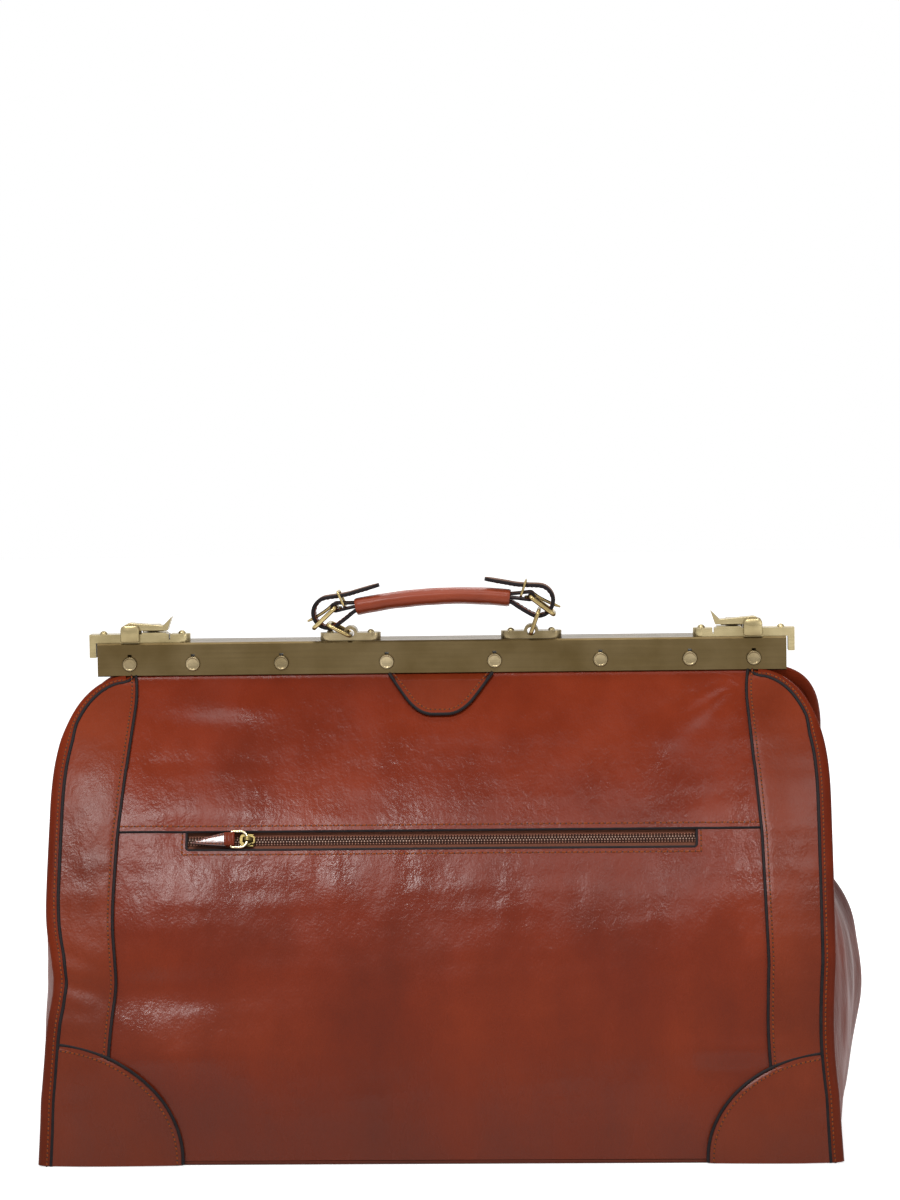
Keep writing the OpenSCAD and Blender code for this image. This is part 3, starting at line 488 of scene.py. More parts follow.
class Tree:
    """Adds nodes to the node tree of a material or a world."""

    def __init__(self, owner):
        owner.use_nodes = True
        self.owner, self.nodes, self.links = owner, owner.node_tree.nodes, owner.node_tree.links

    def put(self, node, inputs):
        """Sets a node's inputs, or links them where the value is a socket."""
        for key, value in inputs.items():
            if hasattr(value, "links"):
                self.links.new(value, node.inputs[key])
            else:
                node.inputs[key].default_value = value

    def new(self, kind, inputs, output, **settings):
        """An output of a new node with these inputs and settings."""
        node = with_settings(self.nodes.new(kind), **settings)
        self.put(node, inputs)
        return node.outputs[output]

    def place(self):
        return self.new("ShaderNodeTexCoord", {}, "Object")

    def noise(self, scale, detail, stretch=(1, 1, 1)):
        mapped = self.new("ShaderNodeMapping", {"Vector": self.place(), "Scale": stretch}, "Vector")
        return self.new("ShaderNodeTexNoise", {"Vector": mapped, "Scale": scale, "Detail": detail}, "Fac")

    def ramp(self, source, *stops):
        node = self.nodes.new("ShaderNodeValToRGB")
        elements = node.color_ramp.elements
        for i, (place, colour) in enumerate(stops):
            element = elements[i] if i < 2 else elements.new(place)
            element.position = place
            element.color = (*colour, 1)
        self.put(node, {"Fac": source})
        return node.outputs["Color"]

    def span(self, source, low, high, to_low, to_high):
        return self.new("ShaderNodeMapRange", {"Value": source, "From Min": low, "From Max": high,
                                               "To Min": to_low, "To Max": to_high}, "Result")

    def mix(self, factor, a, b, blend="MIX"):
        """Mixes two colours, which are the node's sockets 6 and 7 and its output 2."""
        return self.new("ShaderNodeMix", {0: factor, 6: a, 7: b}, 2, data_type="RGBA", blend_type=blend)

    def math(self, operation, a, b):
        return self.new("ShaderNodeMath", {0: a, 1: b}, 0, operation=operation)

    def bump(self, height, strength, distance, **below):
        inputs = {"Height": height, "Strength": strength, "Distance": distance, **below}
        return self.new("ShaderNodeBump", inputs, "Normal")

    def shade(self, inputs):
        """Sets the surface and gives back the finished material."""
        self.put(self.nodes["Principled BSDF"], inputs)
        return self.owner


def linear(colour):
    return [(c / 255 / 12.92 if c <= 10 else ((c / 255 + 0.055) / 1.055) ** 2.4) for c in colour]


def leather(name, light, mid, dark, rough=(0.17, 0.34), coat=0.05, grain=0.3, shine=0.11):
    """Glazed hide: blotches, painted shade and more glaze low down, fine pores and soft wrinkles."""
    tree = Tree(bpy.data.materials.new(name))
    base = tree.ramp(tree.noise(9, 5), (0.32, linear(dark)), (0.7, linear(light)), (0.5, linear(mid)))
    streak = tree.noise(30, 6, (1, 1, 0.45))
    tone = tree.ramp(streak, (0.3, (0.86, 0.83, 0.8)), (0.7, (1.08, 1.1, 1.12)))
    height = tree.new("ShaderNodeSeparateXYZ", {"Vector": tree.place()}, "Z")
    # Painted shade: the colour turns darker and browner towards the base
    low = tree.span(height, 0.0, 0.15, 0.5, 0.0)
    shaded_low = tree.mix(low, tree.mix(1.0, base, tone, "MULTIPLY"), (*linear((92, 42, 26)), 1))
    glaze = [(place, [shine * share] * 3) for place, share in ((0.13, 1.35), (0.27, 0.45), (0.205, 1.0))]
    wrinkles = tree.bump(tree.noise(170, 5, (1, 1, 0.5)), 0.42, 0.0012)
    pores = tree.bump(tree.noise(620, 3), grain, 0.0005, Normal=wrinkles)
    return tree.shade({"Base Color": shaded_low, "Roughness": tree.span(streak, 0.35, 0.65, *rough),
                       "Coat Weight": coat, "Coat Roughness": 0.24,
                       "Specular IOR Level": tree.ramp(height, *glaze), "Normal": pores})


def plain(name, colour, second, rough, metal=0.0, scale=300, height=0.0002, shine=0.5):
    """A material with two mixed tones and a slightly uneven surface."""
    tree = Tree(bpy.data.materials.new(name))
    mottle = tree.noise(scale, 4)
    return tree.shade({"Base Color": tree.ramp(mottle, (0.32, linear(colour)), (0.68, linear(second))),
                       "Roughness": tree.span(mottle, 0.3, 0.7, rough, rough + 0.1),
                       "Metallic": metal, "Specular IOR Level": shine,
                       "Normal": tree.bump(mottle, 0.3, height)})


def brass(name, light, dark, rough, brush=1.0):
    """Antique brass: a brown patina in patches and fine brushed lines."""
    tree = Tree(bpy.data.materials.new(name))
    lines = tree.noise(900, 2, (0.02, 1, 1))
    base = tree.ramp(tree.noise(38, 5), (0.3, linear(dark)), (0.7, linear(light)))
    tone = tree.ramp(lines, (0.3, (0.8, 0.8, 0.8)), (0.7, (1.1, 1.1, 1.1)))
    return tree.shade({"Base Color": tree.mix(brush, base, tone, "MULTIPLY"),
                       "Roughness": tree.span(lines, 0.3, 0.7, rough - 0.05, rough + 0.08),
                       "Metallic": 1.0, "Normal": tree.bump(lines, 0.25 * brush, 0.0002)})


def woven(name, colour, second, pitch):
    """Cloth with crossing threads."""
    tree = Tree(bpy.data.materials.new(name))
    waves = {"Vector": tree.place(), "Scale": 0.31 / pitch, "Distortion": 0.6}
    crossed = (tree.new("ShaderNodeTexWave", waves, "Color", bands_direction=way) for way in "XZ")
    weave = tree.mix(0.5, *crossed)
    return tree.shade({"Base Color": tree.ramp(weave, (0.25, linear(colour)), (0.75, linear(second))),
                       "Roughness": 0.85, "Normal": tree.bump(weave, 0.4, 0.0003)})


MATERIALS = {
    "leather": leather("hide_panel", (130, 47, 20), (118, 40, 17), (106, 37, 18)),
    "leather_trim": leather("hide_trim", (132, 52, 26), (118, 44, 20), (98, 36, 20), (0.22, 0.4)),
    "leather_side": leather("hide_side", (122, 44, 20), (108, 38, 18), (84, 30, 18), (0.3, 0.5), 0.0,
                            shine=0.05),
    "leather_grip": leather("hide_grip", (158, 74, 46), (142, 62, 38), (112, 50, 34), (0.34, 0.5), 0.1,
                            shine=0.4),
    "leather_tab": leather("hide_tab", (122, 48, 28), (100, 40, 24), (80, 32, 22), (0.14, 0.26), 0.9, 0.2,
                           0.5),
    "leather_back": plain("hide_inside", (96, 66, 50), (120, 84, 62), 0.85, height=0.0005),
    "bottom": leather("hide_bottom", (102, 46, 30), (88, 38, 26), (66, 30, 22), (0.4, 0.6), 0.0),
    "edge": plain("edge_paint", (24, 20, 22), (36, 30, 31), 0.5, scale=160, height=0.0006, shine=0.12),
    "thread": plain("thread", (150, 74, 30), (116, 52, 21), 0.7, scale=900, height=0.0003, shine=0.15),
    # Painted shade in the stitch holes and the strap's punched holes
    "hole": plain("stitch_hole_shade", (34, 20, 18), (46, 26, 20), 0.8, scale=400, height=0.0001),
    "brass": brass("brass_plate", (101, 86, 59), (86, 71, 44), 0.34, 0.35),
    "brass_latch": brass("brass_cast", (184, 169, 130), (143, 128, 92), 0.3, 0.3),
    "brass_head": brass("brass_rivet", (164, 148, 116), (112, 98, 70), 0.27, 0.3),
    "brass_small": brass("brass_fitting", (186, 166, 116), (128, 108, 68), 0.24, 0.5),
    "brass_pale": brass("brass_wire", (228, 216, 182), (182, 166, 128), 0.2, 0.4),
    "brass_old": brass("brass_slider", (112, 98, 58), (72, 62, 40), 0.34, 0.5),
    "steel": plain("steel", (150, 148, 142), (116, 114, 110), 0.32, 1.0, scale=120),
    "cloth": woven("lining_cloth", (64, 46, 34), (92, 68, 50), 0.0009),
    "tape": woven("zip_tape", (92, 50, 34), (128, 74, 50), 0.0008),
    "teeth": plain("zip_teeth", (152, 114, 96), (180, 146, 126), 0.24),
    "coil": plain("zip_coil", (124, 78, 58), (150, 98, 74), 0.4),
    # Painted shade under the zip's teeth
    "gap": plain("zip_gap_shade", (44, 24, 18), (62, 34, 26), 0.8, shine=0.2),
    "board": plain("fibre_board", (120, 96, 70), (142, 116, 86), 0.9, scale=220, height=0.0005),
}


# Which body a piece goes with

def settle(nodes):
    if nodes:
        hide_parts(*nodes)


def fixed(piece, body, slot, *nodes):
    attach(piece, body)
    settle(nodes)


def folding(piece, side, slot, *nodes, turn=1.0):
    """Bakes a piece's place into its mesh and hides the frame's nodes that it stands for; in the bag such
    leather stays low down and follows the frame at the bar.
    """
    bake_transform(piece)
    settle(nodes)


# Front and back panels

def lower_panel(side):
    """The panel below the zip's seam, with the zip's window cut out of the front one."""
    levels = spaced(BOTTOM_T + 0.1, SEAM_Z + SEAM_LAP, MESH_STEP, ZIP_LOW, SEAM_Z)
    x = spaced(-HALF_W, HALF_W, MESH_STEP, ZIP_LEFT, ZIP_RIGHT)
    left, right = (edge_x(levels, side, s)[:, None] - PANEL_IN for s in (-1, 1))
    xs = np.clip(np.broadcast_to(x, (len(levels), len(x))), -left, right)
    keep = np.abs(xs[1:, 1:] - xs[1:, :-1]) > 0.01
    if side == FRONT:
        mid_x, mid_z = (x[1:] + x[:-1]) / 2, (levels[1:] + levels[:-1]) / 2
        open_z = (mid_z > ZIP_LOW) & (mid_z < SEAM_Z)
        keep &= ~((np.abs(mid_x - ZIP_X) < ZIP_LEN / 2)[None, :] & open_z[:, None])
    name, p = SIDE_NAME[side], wall(xs, levels[:, None], side)
    piece = sheet("panel_lower_" + name, p, LEATHER, side == BACK, PANEL, keep=keep)
    fixed(piece, "bag_body", "leather", f"lower_{name}_panel")


def upper_panel(side):
    """The panel above the seam, which laps over the lower one and slips behind the bar."""
    z = spaced(SEAM_Z, BAR_Z + BAR_DEPTH, MESH_STEP, BAR_Z)[:, None]
    share = np.linspace(-1, 1, 150)[None, :]
    x = share * (np.where(share > 0, edge_x(z, side, 1), edge_x(z, side, -1)) - PANEL_IN)
    name, p = SIDE_NAME[side], wall(x, z, side, SEAM_LIFT * np.clip((250 - z) / 40, 0, 1))
    piece = sheet("panel_upper_" + name, p, LEATHER, side == BACK, PANEL)
    folding(piece, side, "leather", f"upper_{name}_panel")


def side_strip(side, right):
    """Strip beside the panel, from the corner patch up into the bar."""
    z = spaced(50, BAR_Z + 3, MESH_STEP, SHOULDER_Z, BAR_Z - 5.3, BAR_Z - 0.3)[:, None]
    share = np.linspace(0, 1, 22)[None, :] ** 1.3
    inner = strip_x(z, side, right)
    width = np.maximum(edge_x(z, side, right) - 3, inner + 2) - inner
    puff = 0.6 * np.sin(np.pi * share) + roll_off(width * share, 3.4, 0.7)
    p = wall(right * (inner + width * share), z, side, (STRIP_OFF + puff) * tuck(z))
    nodes = [kind + SIDE_NAME[side] for kind in ("side_strips_", "shoulder_strips_")] if right > 0 else []
    piece = sheet("strip_" + place_name(side, right), p, STRIP_T, side * right > 0, TRIM)
    folding(piece, side, "leather_trim", *nodes)


def patch_curve(count, right, inset=0.0):
    """Curved edge of a corner patch, as half widths and heights."""
    wide, high = PATCH_SIZE[right]
    a = np.radians(np.linspace(0, 90, count))
    x = HALF_W + PATCH_ROUND - (wide - inset) * np.sin(a) - PATCH_ROUND * np.cos(a)
    return x, (high - inset) * np.cos(a)


def corner_patch(side, right):
    wide, high = PATCH_SIZE[right]
    curve_x, curve_z = patch_curve(40, right)
    share = np.linspace(0, 1, 24)[:, None] ** 1.6
    z = np.broadcast_to(np.maximum(curve_z, BOTTOM_T * 0.2), (24, 40))
    edge = edge_x(z, side, right)
    x = np.minimum(curve_x + (HALF_W - 3.5 - curve_x) * share, edge - 3)
    depth = 1 - np.hypot((HALF_W + PATCH_ROUND - x - PATCH_ROUND * z / high) / wide, z / high)
    puff = 1.3 * np.sin(np.pi * np.clip(depth - 0.08, 0, 1) / 0.92) * np.clip((edge - 8 - x) / 16, 0, 1)
    p = wall(right * x, z, side, PATCH_OFF + roll_off(depth * 75, 2.0, 1.1) + puff)
    nodes = ["corner_patches_" + SIDE_NAME[side]] if right > 0 else []
    piece = sheet("patch_" + place_name(side, right), p, PATCH_T, side * right > 0, TRIM)
    fixed(piece, "bag_body", "leather_trim", *nodes)


def tongue_line():
    """Outline of the patch below the bar, from its left top corner to its right one."""
    start, corner, end = np.array([(22.8, -14.3), (14.2, -25.4), (4.5, -25.4)])
    curve = [start * (1 - s) ** 2 + 2 * corner * s * (1 - s) + end * s * s for s in np.linspace(0, 1, 12)]
    half = [(33.2, 3.0), (33.2, -0.9)] + [tuple(point) for point in curve]
    return np.array([(-x, z) for x, z in half] + half[::-1]) + [0, BAR_Z]


def tongue(side):
    outline = tongue_line()
    half = len(outline) // 2
    left, right = resample(outline[:half], 0.9), resample(outline[half:][::-1], 0.9)
    share = np.linspace(0, 1, 26)[None, :, None]
    x, z = np.moveaxis(left[:, None] * (1 - share) + right[:, None] * share, -1, 0)
    name, p = SIDE_NAME[side], wall(x, z, side, TONGUE_OFF * tuck(z))
    piece = sheet("tongue_" + name, p, TONGUE_T, side == FRONT, TRIM)
    folding(piece, side, "leather_trim", "bar_patch_" + name)


def upper_trims(side):
    """Painted edges and stitches of the pieces that fold."""
    edges, seams = Parts("edge"), Parts("thread", "hole")
    reach = float(strip_x(SEAM_Z))
    seam_x = spaced(-reach, reach, MESH_STEP)
    bead(edges, seam_x, SEAM_Z, side, SEAM_LIFT - 0.9, 1.15)
    wall_stitches(seams, seam_x, SEAM_Z + SEAM_SEWN, side, SEAM_LIFT, **BOLD)
    outline = tongue_line()[1:-1]
    bead(edges, *outline.T, side, TONGUE_OFF - 0.8, 1.2)
    inner = outline * [0.91, 1] + [0, TONGUE_SEWN]
    wall_stitches(seams, inner[:, 0], np.minimum(inner[:, 1], BAR_Z - 1.5), side, TONGUE_OFF, pitch=3.0,
                  length=2.2)
    z = spaced(52, BAR_Z - 0.4, MESH_STEP)
    for right in (-1, 1):
        seam = strip_x(z, side, right)
        bead(edges, right * seam, z, side, 1.5, 1.0)
        wall_stitches(seams, right * (seam + STRIP_SEWN), z, side, STRIP_OFF)
    folding(edges.make("edges_upper_" + SIDE_NAME[side]), side, "dark_edge")
    folding(seams.make("stitches_upper_" + SIDE_NAME[side]), side, "leather_trim")


def lower_trims(side):
    """Painted edges and stitches of the corner patches and of the zip's window."""
    edges, seams = Parts("edge"), Parts("thread", "hole")
    for right in (-1, 1):
        x, z = patch_curve(50, right)
        seen = x < edge_x(z, side, right) - 6.5
        bead(edges, right * x[seen], np.maximum(z, 1)[seen], side, 2.2, 1.0)
        x, z = patch_curve(50, right, PATCH_SEWN)
        seen = x < edge_x(z, side, right) - 8
        wall_stitches(seams, right * x[seen], np.maximum(z, 1)[seen], side, PATCH_OFF, pitch=2.9, length=2.1)
    if side == FRONT:
        x = np.array([ZIP_LEFT, ZIP_LEFT, ZIP_RIGHT, ZIP_RIGHT])
        z = np.array([SEAM_Z, ZIP_LOW, ZIP_LOW, SEAM_Z])
        bead(edges, x, z, side, -0.5, 1.0)
        wall_stitches(seams, x + [-2.6, -2.6, 2.6, 2.6], z - [1.5, 2.8, 2.8, 1.5], side, 0, **BOLD)
    fixed(edges.make("edges_lower_" + SIDE_NAME[side]), "bag_body", "dark_edge")
    fixed(seams.make("stitches_lower_" + SIDE_NAME[side]), "bag_body", "leather_trim")


def binding(side, right):
    """Folded band over the edge where a panel meets its gusset, with its dark line and stitches."""
    w, out_z = BINDING_W, BINDING_OFF
    shoulder = SHOULDER_Z + (BAR_Z - 0.3 - SHOULDER_Z) * np.sin(np.linspace(0, np.pi / 2, 30)[1:])
    z = np.concatenate([spaced(1.0, SHOULDER_Z, 4), shoulder])
    line, across, up = wall_line(right * edge_x(z, side, right), z, side, 0)
    out = across * np.where((across[:, :1] * right) < 0, -1, 1)
    lean = np.clip((BAR_Z + 2 - line[:, 2]) / 40, 0.75, 1)
    profile = [(-w, 1.2), (-w + 0.3, out_z), (-3.4, out_z + 0.1), (-1.2, 2.6), (0.5, 1.5), (1.2, -0.2),
               (1.1, -2.0), (0.2, -3.8), (-2, -4.8), (-5.5, -4.9), (-5.5, -3.6), (-2.6, -2.6)]
    parts = Parts("leather_side", "edge")
    kinds = [1] + [0] * (len(profile) - 1)
    parts.ring(loft(line, out, up, profile, lean), kinds, turned=(side == FRONT) != (right > 0))
    name = place_name(side, right)
    nodes = ["edge_bindings"] if side == FRONT and right > 0 else []
    folding(parts.make("binding_" + name), side, "leather_trim", *nodes)

    # The dark line leaves the band near the bar and bends over to the strip's seam
    dark, seams = Parts("edge"), Parts("thread", "hole")
    lean = lean[:, None]
    inner = line - out * w * lean + up * (out_z - 0.45)
    goal = wall(right * (float(strip_x(BAR_Z - 0.3)) + 2.2), BAR_Z - 0.2, side, 0.2)
    last = max(i for i in range(len(inner)) if abs(inner[i, 0] - goal[0]) > 7)
    bend = np.array([goal[0] + right * 1.5, inner[last, 1], inner[-1, 2] + 0.3])
    share = np.linspace(0, 1, 9)[1:, None]
    rise = inner[last] * (1 - share) ** 2 + 2 * bend * share * (1 - share) + goal * share ** 2
    path = np.concatenate([inner[:last + 1], rise])
    path_up = np.concatenate([up[:last + 1], np.repeat(up[last:last + 1], len(rise), 0)])
    # Partly painted shade: the painted edge is drawn wide enough to take in the shadow beside it
    dark.sweep(path, unit(np.cross(path_up, tangents(path))), path_up, circle(1.15, 8, 0.8))
    folding(dark.make("binding_edge_shade_" + name), side, "dark_edge")
    stitch_row(seams, line - out * (w - BAND_SEWN) * lean + up * (out_z + 0.05), out, up)
    folding(seams.make("binding_stitches_" + name), side, "leather_trim")


for side in (FRONT, BACK):
    lower_panel(side)
    upper_panel(side)
    tongue(side)
    upper_trims(side)
    lower_trims(side)
    for right in (-1, 1):
        side_strip(side, right)
        corner_patch(side, right)
        binding(side, right)


# Gussets

# How far each fold swings: a share of its half of the frame's turn, to the front (-) or the back
PLEATS = (0, -0.355, 0.355, -0.554, 0.554, -0.772, 0.772)
PLEAT_X, PLEAT_PITCH, PLEAT_LOW = 172.4, 1.15, 204


def gusset_pieces(right):
    """One lower sheet and two upper halves, cut from one grid so that their shading agrees."""
    end, half = END_NAME[right], 40
    levels = spaced(BOTTOM_T, BAR_Z - 0.5, 3.4, SPLIT_Z)
    p = gusset(np.linspace(-1, 1, 2 * half + 1)[None, :], levels[:, None], right)
    n = normals_of(p)
    n = n if n[10, half, 0] * right > 0 else -n
    cut = int(np.argmin(np.abs(levels - SPLIT_Z)))
    cuts = (("gusset_lower_", None, slice(cut + 1), slice(None)),
            ("gusset_upper_front_", FRONT, slice(cut, None), slice(half + 1)),
            ("gusset_upper_back_", BACK, slice(cut, None), slice(half, None)))
    for name, side, rows, cols in cuts:
        piece = sheet(name + end, p[rows, cols], LEATHER, right < 0, SOFT, 80, normals=n[rows, cols])
        if side is None:
            fixed(piece, "bag_body", "leather", "gusset_" + end)
        else:
            folding(piece, side, "leather", f"upper_gusset_{SIDE_NAME[side]}_{end}")


def pleats(right):
    """Thin fan folds inside the gusset; in the bag they spread out as the frame opens."""
    z = np.linspace(PLEAT_LOW, BAR_Z - 6, 26)[:, None]
    f = np.linspace(-1, 1, 7)[None, :]
    for number, turn in enumerate(PLEATS):
        x = PLEAT_X + PLEAT_PITCH * number + 0.12 * np.sin(z / 6 + number)
        p = points_of(right * x, f * (1.5 + 0.132 * (z - 200)), z)
        piece = sheet(f"gusset_fold_{END_NAME[right]}_{number + 1}", p, PLEAT_T, right < 0, PLEAT)
        if turn:
            folding(piece, BACK if turn > 0 else FRONT, "leather", turn=abs(turn))
        else:
            fixed(piece, "bag_body", "leather")


for right in (-1, 1):
    gusset_pieces(right)
    pleats(right)


# Bottom

def bottom():
    """A sheet with round corners and soft edges."""
    parts = Parts("bottom")
    corner, rim = 5.0, 1.6
    turn = (np.arange(4)[:, None] * math.pi / 2 + np.linspace(0, math.pi / 2, 7)).ravel()
    x, y = (np.repeat(signs, 7) * (half - corner) for signs, half in (((1, -1, -1, 1), HALF_W),
                                                                      ((1, 1, -1, -1), HALF_D)))
    steps = [(corner - 0.5, 0.0), (rim, 0.0), (0.4, 0.5), (0, BOTTOM_T / 2), (0.3, BOTTOM_T - 0.2),
             (1.2, BOTTOM_T + 0.1), (corner - 0.5, BOTTOM_T)]
    p = np.array([points_of(x + (corner - inset) * np.cos(turn), y + (corner - inset) * np.sin(turn), z)
                  for inset, z in steps])
    parts.solid(p)
    fixed(parts.make("bottom_leather"), "bag_body", "leather_bottom", "bottom_panel")


bottom()


# Zip in the front

ZIP_ZONE = 12
ZIP_TILT = math.atan((wall_y(ZIP_Z - ZIP_ZONE) - wall_y(ZIP_Z + ZIP_ZONE)) / (2 * ZIP_ZONE))
ZIP_Y = float(wall_y(ZIP_Z - ZIP_ZONE) + wall_y(ZIP_Z + ZIP_ZONE)) / 2
TAPE_Y = LEATHER * math.cos(ZIP_TILT) + 0.1
TOOTH_PITCH = 1.9
COIL_HALF = 3.1
SLIDER_Y = TAPE_Y - 2.1
RING_WIRE, RING_LEN, RING_HALF, RING_BOW = 1.6, 10.4, 5.3, 4.4
RING_Y = SLIDER_Y - 1.5 - RING_WIRE / 2 - 0.15
TAB_X, TAB_LEN = SLIDER_X - RING_LEN, 25
# Section of the tab: across and out, each as a share
TAB_HALF = [(-1, 0.25), (-0.93, 0.72), (-0.8, 0.9), (-0.4, 0.99), (0, 1), (0.4, 0.99), (0.8, 0.9),
            (0.93, 0.72), (1, 0.25)]
TAB_ACROSS, TAB_OUT = np.array(mirrored(TAB_HALF)).T


def on_zip(p):
    """From the zip's frame: X along it, -Y out of the bag, Z up the slope."""
    x, y, z = np.moveaxis(np.asarray(p, float), -1, 0)
    c, s = math.cos(ZIP_TILT), math.sin(ZIP_TILT)
    return np.stack([ZIP_X + x, -ZIP_Y + y * c + z * s, ZIP_Z - y * s + z * c], -1)


ZIP_OUT, ZIP_UP = (on_zip(way) - on_zip([0, 0, 0]) for way in ([0, -1, 0], [0, 0, 1]))


def zip_teeth():
    """Two meshed rows of teeth with their sewn edges, over a dark sheet of painted shade in the gap between
    the tapes.
    """
    parts = Parts("teeth", "coil", "gap")
    at = np.arange(-ZIP_LEN / 2 + 0.8, ZIP_LEN / 2 - 0.8, TOOTH_PITCH)
    for side in (-1, 1):
        x = at + (0.5 * TOOTH_PITCH if side > 0 else 0)
        x = x[x < ZIP_LEN / 2 - 0.5]
        for kind, sink, low, high, radius in ((0, 0.75, 0.25, 1.4, 0.52), (1, 0.45, 1.9, 2.9, 0.5)):
            starts = on_zip(points_of(x, TAPE_Y - sink, side * low))
            ends = on_zip(points_of(x + 0.25, TAPE_Y - sink, side * high))
            parts.threads(starts, ends, [ZIP_OUT] * len(x), radius, kind, 0.9)
    # Painted shade: a dark sheet under the teeth darkens the spaces between them
    x = np.linspace(-ZIP_LEN / 2, ZIP_LEN / 2, 9)
    for low, high in ((-COIL_HALF, 0), (0, COIL_HALF)):
        parts.shell(on_zip(points_of(x, TAPE_Y - 0.12, [[low], [high]])), 0.3, kinds=(2, 2, 2))
    fixed(parts.make("zip_teeth"), "bag_body", "zip_coil", "zip_coil")


def slab(parts, outline, low, high, place, bevel=0.3):
    """A plate with soft edges: its clockwise outline (x, z) between two depths (y), set by place."""
    outline = np.asarray(outline, float)
    middle = outline.mean(0)
    size = np.abs(outline - middle).max()
    rings = []
    for y, inset in ((low, bevel), (low + bevel, 0), (high - bevel, 0), (high, bevel)):
        x, z = (middle + (outline - middle) * (1 - inset / size)).T
        rings.append(points_of(x, y, z))
    parts.solid(place(np.array(rings)))


def zip_slider():
    """A plate with two rails and a bridge for the ring."""
    parts = Parts("brass_old")
    wings = [(-5.2, 2.2), (-4.4, 3.6), (-2.2, 4.1), (0.6, 3.7), (2.6, 2.8), (4.4, 2.3), (4.9, 1.4)]
    slab(parts, [(SLIDER_X + x, z) for x, z in mirrored(wings)], SLIDER_Y - 1.3, SLIDER_Y, on_zip)
    for side in (-1, 1):
        rail = [(SLIDER_X + x, side * z) for x, z in ((-3.4, 3.3), (3.6, 2.9), (3.6, 4.0), (-3.4, 4.2))]
        slab(parts, rail[::side], SLIDER_Y - 0.2, SLIDER_Y + 1.6, on_zip, 0.2)
    rise = [(-3.1, 0.2), (-2.6, -1.6), (-1.5, -3.1), (0, -3.5), (1.5, -3.1), (2.8, -1.6), (3.6, 0.2)]
    x, y = resample(rise, 0.5).T
    line = on_zip(points_of(SLIDER_X + x, SLIDER_Y - 0.8 + y, 0))
    up = unit(np.cross(np.gradient(line, axis=0), ZIP_UP))
    parts.sweep(line, np.broadcast_to(ZIP_UP, line.shape), up,
                [(1.5, 0), (1.3, 0.4), (-1.3, 0.4), (-1.5, 0), (-1.3, -0.4), (1.3, -0.4)])
    fixed(parts.make("zip_slider_body", 40), "zip_runner", "brass_small", "zip_slider")


def zip_ring():
    ring = Parts("brass_pale")
    half, tip = RING_HALF, SLIDER_X - RING_LEN
    turn = np.linspace(-math.pi / 2, math.pi / 2, 13)
    loop = [(SLIDER_X - RING_BOW + RING_BOW * math.cos(a), half * math.sin(a)) for a in turn]
    loop += [(tip + 1.1, half), (tip + 0.3, half - 0.3), (tip, half - 1.1)]
    loop += [(x, -z) for x, z in loop[:-4:-1]]
    x, z = resample(loop, 0.8, closed=True).T
    ring.tube(on_zip(points_of(x, RING_Y, z)), RING_WIRE / 2)
    fixed(ring.make("zip_ring_wire"), "zip_pull", "brass_small", "zip_ring")


def zip_tab():
    """A pointed leather tab, its fold round the ring and its stitches."""
    tab = Parts("leather_tab", "edge", "leather_trim")
    s = np.array([-1.9, -1.4, -0.5, 0.6, 2, 3.4, 3.5, *range(5, 22, 2), 22.6, 23.8, 24.6, TAB_LEN])
    wide = np.interp(s, [-1.9, 3.4, 3.5, 14, 24.6, TAB_LEN], [3.9, 4.2, 4.8, 3.0, 0.55, 0.15])
    thick = np.interp(s, [-1.9, -1.4, -0.5, 0.6, 3.4, 3.5, 6, 23.8, TAB_LEN],
                      [0.1, 1.3, 1.85, 1.9, 1.7, 1.45, 1.35, 1.1, 0.3])
    droop = -2.4 * (np.clip(s, 0, None) / TAB_LEN) ** 1.3
    wave = 0.14 * np.sin(s * 1.9) * (s > 4) * (s < 22)
    skin = points_of(TAB_X - s[:, None],
                     RING_Y - (thick[:, None] + wave[:, None] * (1 - TAB_ACROSS ** 2)) * TAB_OUT,
                     droop[:, None] + TAB_ACROSS * wide[:, None])
    tab.solid(on_zip(skin), [0 if 0 < c < 8 else 1 for c in range(len(TAB_OUT))], (2, 1))
    at = np.linspace(-2.2, 4.4, 45)[:, None]
    fold = 1.95 + 0.4 * np.abs(np.sin(math.pi * (at + 2.2) / 2.2)) - 0.9 * (np.abs(at - 1.1) > 3.2)
    tab.solid(on_zip(points_of(TAB_X - at, RING_Y - fold * TAB_OUT, 4.5 * TAB_ACROSS)), 2)
    fixed(tab.make("zip_tab_leather", 60), "zip_pull", "leather_trim", "zip_tab")
    seams, sewn = Parts("thread", "hole"), slice(7, 17)
    for side in (-1, 1):
        line = on_zip(points_of(TAB_X - s[sewn], RING_Y - 0.88 * thick[sewn],
                                droop[sewn] + side * (wide[sewn] - 1.2)))
        up = np.broadcast_to(ZIP_OUT, line.shape)
        stitch_row(seams, line, np.cross(up, tangents(line)), up, 2.2, 1.6, 0.1, 0.3)
    fixed(seams.make("zip_tab_stitches"), "zip_pull", "leather_trim")


zip_teeth()
zip_slider()
zip_ring()
zip_tab()


# Handle

